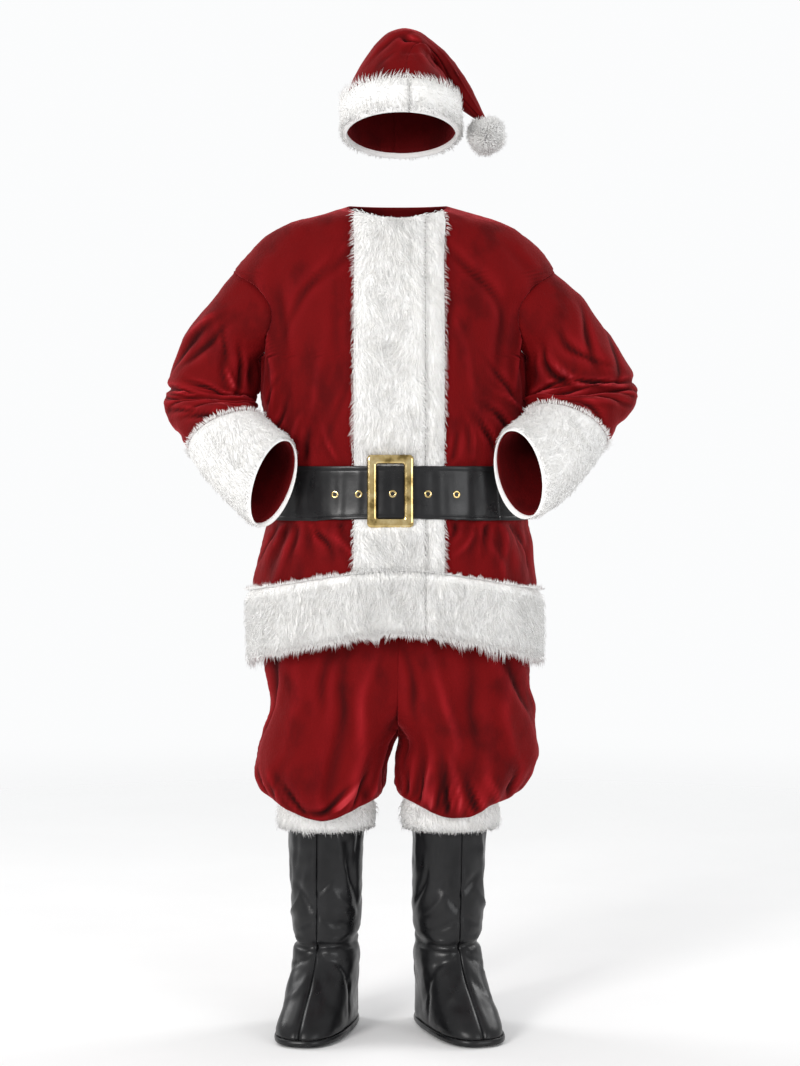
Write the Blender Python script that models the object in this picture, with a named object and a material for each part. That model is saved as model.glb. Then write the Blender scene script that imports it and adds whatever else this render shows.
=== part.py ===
"""Santa suit, as worn: hat, belted jacket, knee trousers and boot covers."""

import math

import bmesh
import bpy
import numpy as np

# Driving sizes in metres. Heights are above the ground that the suit's wearer stands on.
# X points to the viewer's right, the front faces -Y, and left and right are the viewer's.
HOLD_HEIGHT = 1.515
PLUSH = 0.0026
VINYL = 0.0016
SATIN = 0.0010
SEAM = 0.0003
SEAM_FACETED = 0.0005
SEAM_HAT = 0.0010
LAID_CLEAR = 0.00045
FUR = 0.0135
FUR_PRESSED = 0.0042
FUR_HANG = 0.009
# Share of the pile at a band's cut edge, and at the next row in
BAND_EDGE = (0.6, 1.0)
HEM_EDGE = (0.45, 0.95)
HAT_BAND_EDGE = (0.5, 0.92)
BAND_TOP = 0.5
PRESSED_LEAST = 0.8
ROUNDNESS = 2.35
SHORT_STEP = 0.001
QUARTER = math.pi / 2
ANGLE_ROUNDS = 8
HALVINGS = 40

# Heights that the jacket's parts share
HEM = 0.692
HEM_BAND_TOP = 0.810
BELT_LOW = 0.951
BELT_HIGH = 1.051
ARMPIT = 1.250
SHOULDER = 1.410
NECKLINE = 1.535

# Front opening and its two fur bands, as distances across the front from the middle
OPENING = 0.049
BAND_LEFT_EDGE = -0.079
BAND_RIGHT_EDGE = 0.083
LAP = 0.018
LEFT_MARKS = (BAND_LEFT_EDGE, -0.045, -0.010, OPENING - LAP, OPENING - LAP / 2, OPENING - SEAM)
RIGHT_MARKS = (OPENING - LAP, OPENING - LAP / 2, OPENING + 0.001, 0.060, 0.0715, BAND_RIGHT_EDGE)
UNDER_BAND = slice(2, 6)
LAP_CLEAR = 0.0005
UNDER_COLUMNS = 3

# Jacket body sections: half widths to each side, depths to front and back, front rise
TORSO_COLUMNS = ("height", "left", "right", "front", "back", "rise")
TORSO = (
    (0.675, 0.268, 0.260, 0.206, 0.160, 0.074),
    (0.760, 0.271, 0.259, 0.207, 0.158, 0.066),
    (0.830, 0.269, 0.256, 0.203, 0.152, 0.054),
    (0.900, 0.255, 0.251, 0.194, 0.143, 0.034),
    (0.951, 0.241, 0.242, 0.181, 0.132, 0.012),
    (1.000, 0.235, 0.237, 0.177, 0.127, 0.008),
    (1.051, 0.236, 0.236, 0.176, 0.128, 0.005),
    (1.100, 0.242, 0.237, 0.181, 0.138, 0.000),
    (1.180, 0.251, 0.232, 0.180, 0.145, 0.000),
    (1.250, 0.252, 0.232, 0.170, 0.148, 0.000),
    (1.340, 0.268, 0.252, 0.148, 0.142, 0.000),
    (1.410, 0.303, 0.288, 0.118, 0.126, 0.000),
    (1.445, 0.277, 0.270, 0.104, 0.114, 0.000),
    (1.475, 0.246, 0.238, 0.095, 0.104, -0.003),
    (1.495, 0.214, 0.206, 0.090, 0.098, -0.008),
    (1.515, 0.158, 0.155, 0.085, 0.093, -0.018),
    (1.535, 0.092, 0.092, 0.082, 0.086, -0.034),
)
TORSO_ROWS = (
    HEM, 0.755, HEM_BAND_TOP, 0.855, 0.892, 0.914, BELT_LOW, 1.000, BELT_HIGH, 1.078, 1.098,
    1.140, 1.195, ARMPIT, 1.290, 1.330, 1.370, SHOULDER, 1.440, 1.470, 1.495, 1.515, NECKLINE,
)
PRESSED_ROWS = (0.914, 1.078)
SIDE_COLUMNS = 6
BACK_COLUMNS = 16
TORSO_RADIUS = 0.22

# Folds: place round (degrees from the front), height or share along, half length, half width,
# depth (minus is a trough) and lean from the upright (degrees)
# Columns: round, along, length, width, depth, lean
TORSO_FOLDS = (
    (-62, 0.880, 0.060, 0.016, -0.008, 12),
    (-44, 0.900, 0.055, 0.014, -0.006, -8),
    (-31, 0.895, 0.050, 0.014, 0.005, -14),
    (38, 0.895, 0.055, 0.015, -0.006, 10),
    (58, 0.885, 0.060, 0.016, 0.006, -10),
    (74, 0.880, 0.060, 0.015, -0.007, 8),
    (-70, 1.110, 0.050, 0.016, 0.006, -20),
    (-48, 1.105, 0.045, 0.014, -0.005, 15),
    (40, 1.105, 0.045, 0.014, -0.005, -12),
    (64, 1.110, 0.050, 0.016, 0.006, 18),
    (-64, 1.300, 0.070, 0.014, -0.008, -8),
    (60, 1.290, 0.070, 0.014, -0.008, 10),
    (-46, 1.420, 0.045, 0.014, -0.005, 38),
    (48, 1.420, 0.045, 0.014, -0.005, -38),
    (120, 0.880, 0.060, 0.018, -0.008, 0),
    (146, 0.890, 0.060, 0.018, 0.006, 6),
    (168, 0.880, 0.065, 0.018, -0.008, -5),
    (-158, 0.885, 0.060, 0.018, 0.006, 5),
    (-128, 0.880, 0.060, 0.018, -0.007, -6),
    (140, 1.110, 0.050, 0.018, 0.006, 10),
    (-140, 1.110, 0.050, 0.018, 0.006, -10),
    (180, 1.300, 0.090, 0.020, -0.005, 0),
)

# Armhole: how far its front and back edges lie from the side, in degrees
ARMHOLE_FRONT = 20
ARMHOLE_BACK = 18
ARMHOLE_ROUND = 0.55

# Sleeve sections: outer and inner edge as seen from the front, middle and half depth, and the
# turn of the section towards the viewer in degrees. The first section is the armhole.
# Columns: outer x, outer z, inner x, inner z, middle y, half depth, turn
SLEEVE_LEFT = (
    (-0.347, 1.357, -0.2560, 1.240, 0.004, 0.084, 0),
    (-0.388, 1.304, -0.2560, 1.222, 0.004, 0.082, 0),
    (-0.414, 1.250, -0.2565, 1.203, 0.002, 0.079, 0),
    (-0.429, 1.208, -0.2590, 1.186, -0.004, 0.076, 0),
    (-0.436, 1.178, -0.2630, 1.171, -0.014, 0.074, 6),
    (-0.427, 1.146, -0.2630, 1.158, -0.032, 0.071, 16),
    (-0.404, 1.108, -0.2570, 1.147, -0.060, 0.067, 27),
    (-0.374, 1.068, -0.2470, 1.138, -0.093, 0.062, 36),
    (-0.338, 1.030, -0.2330, 1.125, -0.132, 0.056, 42),
    (-0.292, 0.986, -0.2150, 1.112, -0.168, 0.051, 44),
    (-0.246, 0.948, -0.1980, 1.100, -0.200, 0.048, 44),
)
SLEEVE_RIGHT = (
    (0.337, 1.368, 0.2355, 1.240, 0.004, 0.084, 0),
    (0.375, 1.318, 0.2355, 1.223, 0.002, 0.082, 0),
    (0.412, 1.265, 0.2355, 1.206, -0.002, 0.079, 0),
    (0.438, 1.222, 0.2355, 1.190, -0.010, 0.076, 0),
    (0.446, 1.190, 0.2355, 1.177, -0.020, 0.074, 6),
    (0.436, 1.160, 0.2355, 1.166, -0.036, 0.071, 16),
    (0.407, 1.124, 0.2400, 1.156, -0.062, 0.067, 28),
    (0.372, 1.082, 0.2360, 1.147, -0.094, 0.062, 40),
    (0.336, 1.042, 0.2270, 1.136, -0.132, 0.057, 48),
    (0.288, 0.996, 0.2130, 1.127, -0.168, 0.052, 52),
    (0.230, 0.962, 0.2000, 1.118, -0.200, 0.049, 54),
)
SLEEVE_ACROSS = 18
SLEEVE_ROWS = (0.0, 0.09, 0.18, 0.27, 0.34, 0.40, 0.455, 0.51, 0.57, 0.63, 0.71, 0.80, 0.89, 0.985)
CUFF_ROWS = (0.71, 0.80, 0.89, 0.985, 1.0)
CUFF_FUR = (0.45, 0.95, 1.00, 0.92, 0.50)
CUFF_PRESSED_SIDE = 0.35
SLEEVE_RADIUS = 0.078
SLEEVE_LENGTH = 0.52
SLEEVE_FADE = (0.02, 0.14)
ARMHOLE_GAP = 0.0007
SLEEVE_FOLDS = (
    (-60, 0.43, 0.050, 0.012, -0.010, 78),
    (10, 0.47, 0.055, 0.013, -0.011, 82),
    (48, 0.40, 0.040, 0.011, -0.009, 60),
    (70, 0.50, 0.050, 0.014, 0.009, 84),
    (55, 0.22, 0.055, 0.012, -0.009, 6),
    (-20, 0.60, 0.050, 0.012, 0.006, 64),
    (150, 0.45, 0.055, 0.013, -0.008, 80),
    (-140, 0.52, 0.050, 0.013, 0.006, 76),
)

# Trouser leg sections: the middle's distance from the suit's middle, half widths to the inner
# and outer side of the leg, edges to front and back, and how far the front sags.
# Above the crotch the inner side runs past the middle, where the section is cut off.
LEG_COLUMNS = ("height", "middle", "inner", "outer", "front", "back", "sag")
CROTCH = 0.5436
LEG_LEFT = (
    (0.4560, 0.1345, 0.0805, 0.0805, -0.0865, 0.0745, 0.000),
    (0.4420, 0.1355, 0.0940, 0.0940, -0.104, 0.090, 0.016),
    (0.4370, 0.1385, 0.1040, 0.1040, -0.118, 0.100, 0.034),
    (0.4490, 0.1435, 0.1155, 0.1155, -0.131, 0.111, 0.034),
    (0.4790, 0.1465, 0.1225, 0.1225, -0.140, 0.118, 0.016),
    (0.5100, 0.1390, 0.1240, 0.1240, -0.141, 0.122, 0.000),
    (CROTCH, 0.1265, 0.1263, 0.1265, -0.139, 0.126, 0.000),
    (0.5800, 0.1070, 0.1370, 0.1370, -0.138, 0.130, 0.000),
    (0.6100, 0.0870, 0.1520, 0.1520, -0.139, 0.132, 0.000),
    (0.6450, 0.0675, 0.1775, 0.1775, -0.142, 0.134, 0.000),
    (0.6900, 0.0400, 0.2100, 0.2100, -0.147, 0.136, 0.000),
    (0.7800, 0.0000, 0.2370, 0.2380, -0.150, 0.136, 0.000),
    (0.8800, 0.0000, 0.2150, 0.2150, -0.142, 0.124, 0.000),
    (0.9500, 0.0000, 0.1920, 0.1920, -0.130, 0.112, 0.000),
    (1.0000, 0.0000, 0.1800, 0.1800, -0.122, 0.104, 0.000),
)
LEG_RIGHT = (
    (0.4560, 0.0980, 0.0805, 0.0805, -0.0865, 0.0745, 0.000),
    (0.4420, 0.1015, 0.0915, 0.0930, -0.104, 0.090, 0.014),
    (0.4370, 0.1070, 0.1035, 0.1030, -0.118, 0.100, 0.030),
    (0.4500, 0.1135, 0.1145, 0.1125, -0.131, 0.110, 0.030),
    (0.4790, 0.1220, 0.1250, 0.1250, -0.140, 0.118, 0.014),
    (0.5100, 0.1295, 0.1325, 0.1325, -0.141, 0.122, 0.000),
    (CROTCH, 0.1265, 0.1263, 0.1335, -0.139, 0.126, 0.000),
    (0.5800, 0.1070, 0.1370, 0.1490, -0.138, 0.130, 0.000),
    (0.6100, 0.0870, 0.1520, 0.1670, -0.139, 0.132, 0.000),
    (0.6450, 0.0675, 0.1775, 0.1785, -0.142, 0.134, 0.000),
    (0.6900, 0.0400, 0.2100, 0.2060, -0.147, 0.136, 0.000),
    (0.7800, 0.0000, 0.2370, 0.2360, -0.150, 0.136, 0.000),
    (0.8800, 0.0000, 0.2150, 0.2150, -0.142, 0.124, 0.000),
    (0.9500, 0.0000, 0.1920, 0.1920, -0.130, 0.112, 0.000),
    (1.0000, 0.0000, 0.1800, 0.1800, -0.122, 0.104, 0.000),
)
SAG_PEAK = 3.5
LEG_CROTCH_ROW = 6
LEG_ROWS = (0, 1, 2, 3, 4, 5, 6, 7, 8.5, 10, 11, 12.5, 13.3, 14)
LEG_ACROSS = 12
LEG_RADIUS = 0.12
LEG_LENGTH = 0.42
LEG_FADE = (0.14, 0.24)
LEG_LEFT_FOLDS = (
    (-8, 0.27, 0.075, 0.018, -0.012, 2),
    (12, 0.27, 0.060, 0.013, 0.008, 4),
    (-42, 0.24, 0.050, 0.013, -0.008, 24),
    (42, 0.24, 0.045, 0.012, -0.007, -18),
    (68, 0.26, 0.050, 0.014, 0.006, -10),
    (-78, 0.56, 0.045, 0.014, -0.010, 14),
    (-108, 0.25, 0.050, 0.015, -0.008, 8),
    (-142, 0.25, 0.055, 0.015, -0.009, 0),
    (172, 0.24, 0.055, 0.015, -0.009, 6),
    (130, 0.25, 0.050, 0.015, -0.008, -8),
)
LEG_RIGHT_FOLDS = (
    (-44, 0.25, 0.055, 0.011, -0.011, 10),
    (-20, 0.25, 0.055, 0.011, -0.010, -4),
    (-32, 0.27, 0.050, 0.010, 0.006, 2),
    (18, 0.26, 0.055, 0.014, 0.007, -10),
    (46, 0.25, 0.050, 0.014, -0.009, -26),
    (80, 0.54, 0.050, 0.014, -0.009, -12),
    (108, 0.25, 0.050, 0.015, -0.008, -8),
    (145, 0.25, 0.055, 0.015, -0.009, 0),
    (-170, 0.24, 0.055, 0.015, -0.009, 6),
    (-130, 0.25, 0.050, 0.015, -0.008, 8),
)
WAISTBAND_ROWS = (13.3, 14.0)
WAISTBAND_THICKNESS = 0.0030

# Knee cuffs: middle across for each leg, and their common sections
KNEE_MIDDLE_Y = -0.006
KNEE_LEFT_X = -0.1345
KNEE_RIGHT_X = 0.0980
KNEE_COLUMNS = ("height", "inside", "outside")
KNEE = (
    (0.4556, 0.0768, 0.0801),
    (0.4400, 0.0768, 0.0850),
    (0.4150, 0.0765, 0.0935),
    (0.3870, 0.0760, 0.0915),
    (0.3750, 0.0760, 0.0850),
)
KNEE_ACROSS = 18

# Boot covers: half width, reach to toe and to heel from the ankle's middle, how far forward
# the section is widest, and how square its corners are
BOOT_COLUMNS = ("height", "side", "toe", "heel", "forward", "power")
BOOT = (
    (0.004, 0.0625, 0.200, 0.078, 0.070, 2.7),
    (0.024, 0.0620, 0.193, 0.079, 0.066, 2.7),
    (0.046, 0.0610, 0.171, 0.079, 0.052, 2.6),
    (0.072, 0.0600, 0.139, 0.078, 0.034, 2.5),
    (0.100, 0.0605, 0.106, 0.076, 0.016, 2.4),
    (0.130, 0.0620, 0.082, 0.073, 0.004, 2.2),
    (0.160, 0.0600, 0.0715, 0.071, 0.000, 2.1),
    (0.200, 0.0640, 0.0710, 0.071, 0.000, 2.1),
    (0.280, 0.0675, 0.0700, 0.070, 0.000, 2.1),
    (0.360, 0.0690, 0.0690, 0.069, 0.000, 2.1),
    (0.425, 0.0690, 0.0690, 0.069, 0.000, 2.1),
)
BOOT_ANKLE = 0.160
BOOT_ROWS = (0.0145, 0.034, 0.056, 0.080, 0.106, 0.134, 0.150, 0.162, 0.176, 0.230, 0.320, 0.425)
BOOT_ACROSS = 8
BOOT_RADIUS = 0.068
BINDING_ROWS = (0.0045, 0.0095, 0.0139)
BINDING_BULGE = (0.0014, 0.0022, 0.0014)
# Each cover's ankle: across, along, turn outwards in degrees, and lean outwards at the top
BOOT_LEFT_PLACE = (-0.1345, -0.006, -14.0, 0.000)
BOOT_RIGHT_PLACE = (0.0925, -0.006, 19.0, 0.006)
BOOT_FOLDS = (
    (0, 0.160, 0.050, 0.008, -0.005, 88),
    (-80, 0.165, 0.045, 0.008, -0.005, 80),
    (75, 0.165, 0.045, 0.008, -0.005, -80),
    (-40, 0.118, 0.035, 0.009, -0.004, 60),
    (42, 0.118, 0.035, 0.009, -0.004, -60),
    (-30, 0.290, 0.060, 0.012, -0.004, 20),
    (60, 0.300, 0.070, 0.012, -0.004, -12),
    (180, 0.165, 0.045, 0.010, -0.005, 88),
)

# Hat sections: left edge, right edge, middle and half depth, and the tip back in degrees
# Columns: left x, left z, right x, right z, middle y, half depth, tip
HAT = (
    (-0.095, 1.662, 0.107, 1.662, 0.008, 0.112, -17),
    (-0.095, 1.700, 0.108, 1.700, 0.016, 0.111, -17),
    (-0.094, 1.735, 0.104, 1.733, 0.022, 0.108, -15),
    (-0.083, 1.770, 0.090, 1.764, 0.026, 0.099, -11),
    (-0.062, 1.803, 0.078, 1.786, 0.028, 0.086, -6),
    (-0.040, 1.832, 0.070, 1.797, 0.029, 0.074, 0),
    (-0.016, 1.855, 0.067, 1.802, 0.029, 0.064, 0),
    (0.015, 1.863, 0.0685, 1.8035, 0.029, 0.056, 0),
    (0.046, 1.852, 0.0720, 1.803, 0.033, 0.045, 0),
    (0.083, 1.826, 0.0790, 1.796, 0.044, 0.035, 0),
    (0.113, 1.793, 0.0880, 1.773, 0.056, 0.029, 0),
    (0.138, 1.753, 0.1010, 1.742, 0.062, 0.026, 0),
    (0.154, 1.720, 0.1230, 1.712, 0.054, 0.020, 0),
    (0.1662, 1.6950, 0.1505, 1.6912, 0.0380, 0.009, 0),
)
HAT_ACROSS = 9
HAT_ROWS = (
    0.020, 0.070, 0.145, 0.205, 0.265, 0.325, 0.380, 0.425, 0.462, 0.500, 0.538, 0.580,
    0.630, 0.690, 0.770, 0.845, 0.920, 1.000,
)
HAT_BAND_ROWS = (0.0, 0.020, 0.070, 0.145)
HAT_SEAM = 8
HAT_RADIUS = 0.10
HAT_LENGTH = 0.36
HAT_FOLDS = (
    (0, 0.40, 0.030, 0.012, -0.008, 0),
    (30, 0.36, 0.040, 0.011, 0.007, -24),
    (52, 0.34, 0.045, 0.010, -0.008, -24),
    (-40, 0.40, 0.045, 0.013, -0.005, 22),
    (180, 0.38, 0.050, 0.015, -0.007, 0),
)
POMPOM_MIDDLE = (0.165, 0.036, 1.6662)
POMPOM_CORE = 0.0270
POMPOM_REACH = 0.0375
POMPOM_TIE = (-0.25, 0.05, 0.967)
POMPOM_BARE = 0.80
POMPOM_GAP = 0.0010
POMPOM_TIP = 0.30
POMPOM_UNEVEN = 0.0022

# Belt, buckle and eyelets
BELT_THICKNESS = 0.0022
BELT_CLEAR = 0.0007
BELT_LAP_END = 57
BELT_RAMP = (332, 350)
BELT_BAND_RAMP = (50, 30)
BUCKLE_SIZE = (0.0840, 0.1310)
BUCKLE_WINDOW = (0.0490, 0.0980)
BUCKLE_THICKNESS = 0.0050
BUCKLE_ACROSS = -0.0135
BUCKLE_BEVEL = 0.0016
BUCKLE_CORNER = 0.0080
WINDOW_CORNER = 0.0040
CORNER_STEPS = 3
EYELET_PLACES = (-0.112, -0.0695, -0.0095, 0.053, 0.103)
EYELET_ROW = 0.997
EYELET_RADIUS = 0.0052
EYELET_WIRE = 0.0013
EYELET_SIDES = (10, 4)
EYELET_SAMPLES = 9

# Satin facing that hangs just below the hem at the front left
FACING_COLUMNS = slice(1, 4)
FACING_LOW = 0.677

COLORS = {
    "plush": ((0.30, 0.008, 0.018), 0.85, 0.0),
    "fur": ((0.86, 0.85, 0.83), 0.95, 0.0),
    "vinyl": ((0.022, 0.022, 0.024), 0.42, 0.0),
    "brass": ((0.62, 0.47, 0.20), 0.22, 1.0),
    "satin": ((0.55, 0.01, 0.02), 0.35, 0.0),
}


def clear_scene():
    for item in list(bpy.data.objects):
        bpy.data.objects.remove(item, do_unlink=True)


def column(columns, table, name):
    return np.array([row[columns.index(name)] for row in table], float)


def smooth(stations, values, at):
    """Join the values at the stations with one smooth curve and read it at other places."""
    stations = np.asarray(stations, float)
    values = np.asarray(values, float)
    flat = values.reshape(len(values), -1)
    steps = np.diff(stations)[:, None]
    slopes = np.diff(flat, axis=0) / steps
    tangents = np.empty_like(flat)
    tangents[0] = slopes[0]
    tangents[-1] = slopes[-1]
    tangents[1:-1] = (slopes[:-1] * steps[1:] + slopes[1:] * steps[:-1]) / (steps[1:] + steps[:-1])
    at = np.asarray(at, float)
    place = np.clip(at.ravel(), stations[0], stations[-1])
    first = np.clip(np.searchsorted(stations, place, side="right") - 1, 0, len(stations) - 2)
    step = steps[first, 0]
    t = ((place - stations[first]) / step)[:, None]
    step = step[:, None]
    result = (
        (2 * t ** 3 - 3 * t ** 2 + 1) * flat[first]
        + (t ** 3 - 2 * t ** 2 + t) * step * tangents[first]
        + (3 * t ** 2 - 2 * t ** 3) * flat[first + 1]
        + (t ** 3 - t ** 2) * step * tangents[first + 1]
    )
    return result.reshape(at.shape + values.shape[1:])


def fold_depth(u, v, folds, radius, length):
    """Height of all the folds at a place; a trough is below zero."""
    total = np.zeros(np.broadcast(u, v).shape)
    for around, along, half_length, half_width, depth, lean in folds:
        turn = (u - math.radians(around) + math.pi) % (2 * math.pi) - math.pi
        across_cloth = turn * radius
        along_cloth = (v - along) * length
        lean_cos = math.cos(math.radians(lean))
        lean_sin = math.sin(math.radians(lean))
        run = along_cloth * lean_cos + across_cloth * lean_sin
        side = across_cloth * lean_cos - along_cloth * lean_sin
        total = total + depth * np.exp(-(run / half_length) ** 2 - (side / half_width) ** 2)
    return total


class Cloth:
    """A smooth surface: u goes round it in radians, v goes along it between two ends."""

    def __init__(self, place, ends, folds=(), radius=1.0, length=1.0, fade=None):
        self.place = place
        self.ends = ends
        self.folds = folds
        self.radius = radius
        self.length = length
        self.fade_range = fade
        self.side = 1.0
        u = np.linspace(-math.pi, math.pi, 24, endpoint=False)
        v = np.full_like(u, (ends[0] + ends[1]) / 2)
        points = place(u, v)
        outward = np.einsum("ij,ij->i", self.slope(place, u, v), points - points.mean(axis=0))
        if outward.mean() < 0:
            self.side = -1.0

    def slope(self, place, u, v):
        """Unit normals from small steps along the surface."""
        step = SHORT_STEP * (self.ends[1] - self.ends[0])
        low = np.clip(v - step, *self.ends)
        high = np.clip(v + step, *self.ends)
        around = place(u + SHORT_STEP, v) - place(u - SHORT_STEP, v)
        normal = np.cross(around, place(u, high) - place(u, low))
        return self.side * normal / np.linalg.norm(normal, axis=-1, keepdims=True)

    def fade(self, v):
        """Share of the folds' depth that is left near the start of the cloth."""
        if self.fade_range is None:
            return np.ones_like(v)
        low, high = self.fade_range
        share = np.clip((v - low) / (high - low), 0, 1)
        return share * share * (3 - 2 * share)

    def folded(self, u, v):
        base = self.place(u, v)
        if not self.folds:
            return base
        depth = fold_depth(u, v, self.folds, self.radius, self.length)
        depth = depth * self.fade(v)
        return base + self.slope(self.place, u, v) * depth[..., None]

    def points(self, u, v, offset=0.0):
        """Points on the folded surface, moved out by an offset."""
        u, v = np.broadcast_arrays(np.asarray(u, float), np.asarray(v, float))
        offset = np.broadcast_to(np.asarray(offset, float), u.shape)
        return self.folded(u, v) + self.slope(self.folded, u, v) * offset[..., None]


def section(angle, left, right, front, back, power=ROUNDNESS):
    """Distance from the middle to a rounded section at an angle from the front."""
    width = np.where(np.sin(angle) > 0, right, left)
    depth = np.where(np.cos(angle) > 0, front, back)
    across = np.abs(np.sin(angle) / width) ** power
    along = np.abs(np.cos(angle) / depth) ** power
    return (across + along) ** (-1 / power)


def torso_place(u, v):
    u, v = np.broadcast_arrays(np.asarray(u, float), np.asarray(v, float))
    heights = column(TORSO_COLUMNS, TORSO, "height")
    left, right, front, back, rise = (
        smooth(heights, column(TORSO_COLUMNS, TORSO, name), v) for name in TORSO_COLUMNS[1:]
    )
    reach = section(u, left, right, front, back)
    lifted = v + rise * ((1 + np.cos(u)) / 2) ** 3
    return np.stack((reach * np.sin(u), -reach * np.cos(u), lifted), axis=-1)


def angle_across(distance, heights):
    """Angle from the front at which the jacket reaches a distance across, at each height."""
    rows = column(TORSO_COLUMNS, TORSO, "height")
    front = smooth(rows, column(TORSO_COLUMNS, TORSO, "front"), heights)
    angle = np.arcsin(np.clip(distance / front, -0.9, 0.9))
    for _ in range(ANGLE_ROUNDS):
        point = torso_place(angle, heights)
        reach = np.hypot(point[..., 0], point[..., 1])
        angle = np.arcsin(np.clip(distance / reach, -0.9, 0.9))
    return angle


def side_angle(heights, armhole, gap):
    """Angle of the side seam, armhole and shoulder seam, less half the seam's gap."""
    share = np.clip((heights - ARMPIT) / (SHOULDER - ARMPIT), 0, 1)
    angle = QUARTER - math.radians(armhole) * np.sin(math.pi * share) ** ARMHOLE_ROUND
    rows = column(TORSO_COLUMNS, TORSO, "height")
    reach = smooth(rows, column(TORSO_COLUMNS, TORSO, "right"), heights)
    return angle - gap / reach


def ring_by_edges(row, hand, angle):
    """A section between an outer and an inner edge, seen from the front, with its own depth."""
    outer_x, outer_z, inner_x, inner_z, middle_y, half_depth, turn = row
    middle = np.array(((outer_x + inner_x) / 2, middle_y, (outer_z + inner_z) / 2))
    half = np.array(((outer_x - inner_x) / 2, 0.0, (outer_z - inner_z) / 2))
    span = half / np.linalg.norm(half)
    onward = np.array((span[2], 0.0, -span[0])) * hand
    forward = np.array((0.0, -1.0, 0.0))
    lean = math.radians(turn)
    depth = (forward * math.cos(lean) - onward * math.sin(lean)) * half_depth
    return middle + half * -np.sin(angle)[..., None] + depth * np.cos(angle)[..., None]


def tube_through(rings):
    """A surface through ring functions, each giving points for an array of angles."""
    stations = np.linspace(0, 1, len(rings))

    def place(u, v):
        u, v = np.broadcast_arrays(np.asarray(u, float), np.asarray(v, float))
        layers = np.stack([ring(u.ravel()) for ring in rings])
        first = np.clip((v.ravel() * (len(rings) - 1)).astype(int), 0, len(rings) - 2)
        result = np.empty((u.size, 3))
        for index in np.unique(first):
            chosen = first == index
            low = max(index - 1, 0)
            high = min(index + 3, len(rings))
            near = layers[low:high, chosen]
            tangents = np.gradient(near, axis=0)
            here = index - low
            t = ((v.ravel()[chosen] - stations[index]) * (len(rings) - 1))[:, None]
            result[chosen] = (
                (2 * t ** 3 - 3 * t ** 2 + 1) * near[here]
                + (t ** 3 - 2 * t ** 2 + t) * tangents[here]
                + (3 * t ** 2 - 2 * t ** 3) * near[here + 1]
                + (t ** 3 - t ** 2) * tangents[here + 1]
            )
        return result.reshape(u.shape + (3,))

    return place


def sleeve_cloth(torso, table, side):
    """A sleeve from the armhole on one side of the jacket to its cuff; side is -1 or 1."""

    def section_at(row):
        return lambda angle: ring_by_edges(row, side, angle)

    rings = [section_at(row) for row in table]

    heights = np.array([row for row in TORSO_ROWS if ARMPIT <= row <= SHOULDER])
    front = torso.points(side * side_angle(heights, ARMHOLE_FRONT, 0.0), heights)
    back = torso.points(side * (2 * QUARTER - side_angle(heights, ARMHOLE_BACK, 0.0)), heights)

    def armhole(angle):
        rise = ARMPIT + (SHOULDER - ARMPIT) * (1 - np.sin(angle)) / 2
        facing = np.cos(angle) > 0
        edge = np.stack([
            np.where(facing, np.interp(rise, heights, front[:, axis]),
                     np.interp(rise, heights, back[:, axis]))
            for axis in range(3)
        ], axis=-1)
        onward = rings[0](angle) - edge
        onward = onward / np.linalg.norm(onward, axis=-1, keepdims=True)
        return edge + onward * ARMHOLE_GAP

    place = tube_through([armhole] + rings)
    return Cloth(place, (0.0, 1.0), SLEEVE_FOLDS, SLEEVE_RADIUS, SLEEVE_LENGTH, SLEEVE_FADE)


def leg_cloth(table, folds, side):
    """A trouser leg and its half of the seat; v counts the table's rows."""
    rows = np.arange(len(table))

    def place(u, v):
        u, v = np.broadcast_arrays(np.asarray(u, float), np.asarray(v, float))
        height, middle, inner, outer, front, back, sag = (
            smooth(rows, column(LEG_COLUMNS, table, name), v) for name in LEG_COLUMNS
        )
        half_depth = (back - front) / 2
        if side < 0:
            reach = section(u, outer, inner, half_depth, half_depth)
        else:
            reach = section(u, inner, outer, half_depth, half_depth)
        across = side * middle + reach * np.sin(u)
        along = (front + back) / 2 - reach * np.cos(u)
        lowered = height - sag * ((1 + np.cos(u)) / 2) ** SAG_PEAK
        return np.stack((across, along, lowered), axis=-1)

    last = len(table) - 1
    reach = LEG_LENGTH / last
    folds = tuple((row[0], row[1] * last) + row[2:] for row in folds)
    fade = tuple(share * last for share in LEG_FADE)
    return Cloth(place, (0.0, float(last)), folds, LEG_RADIUS, reach, fade)


def middle_angle(leg, rows, side, at_back):
    """Angle at which a leg's section meets the suit's middle; a quarter turn below the crotch."""
    low = np.full(len(rows), 2 * QUARTER if at_back else 0.0)
    high = np.full(len(rows), QUARTER)
    for _ in range(HALVINGS):
        angle = (low + high) / 2
        inside = leg.points(-side * angle, rows)[..., 0] * side > SEAM / 2
        low = np.where(inside, angle, low)
        high = np.where(inside, high, angle)
    return np.where(rows <= LEG_CROTCH_ROW, QUARTER, (low + high) / 2)


def boot_cloth(place_row):
    """One boot cover, turned and placed at its ankle; v is the height."""
    middle_x, middle_y, turn, lean = place_row
    heights = column(BOOT_COLUMNS, BOOT, "height")
    turn_cos = math.cos(math.radians(turn))
    turn_sin = math.sin(math.radians(turn))

    def place(u, v):
        u, v = np.broadcast_arrays(np.asarray(u, float), np.asarray(v, float))
        side, toe, heel, forward, power = (
            smooth(heights, column(BOOT_COLUMNS, BOOT, name), v) for name in BOOT_COLUMNS[1:]
        )
        reach = section(u, side, side, toe - forward, heel + forward, power)
        across = reach * np.sin(u)
        along = -reach * np.cos(u) - forward
        shift = lean * np.clip((v - BOOT_ANKLE) / (heights[-1] - BOOT_ANKLE), 0, 1)
        x = middle_x + shift + across * turn_cos - along * turn_sin
        y = middle_y + across * turn_sin + along * turn_cos
        return np.stack((x, y, v), axis=-1)

    return Cloth(place, (heights[0], heights[-1]), BOOT_FOLDS, BOOT_RADIUS, 1.0)


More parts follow.
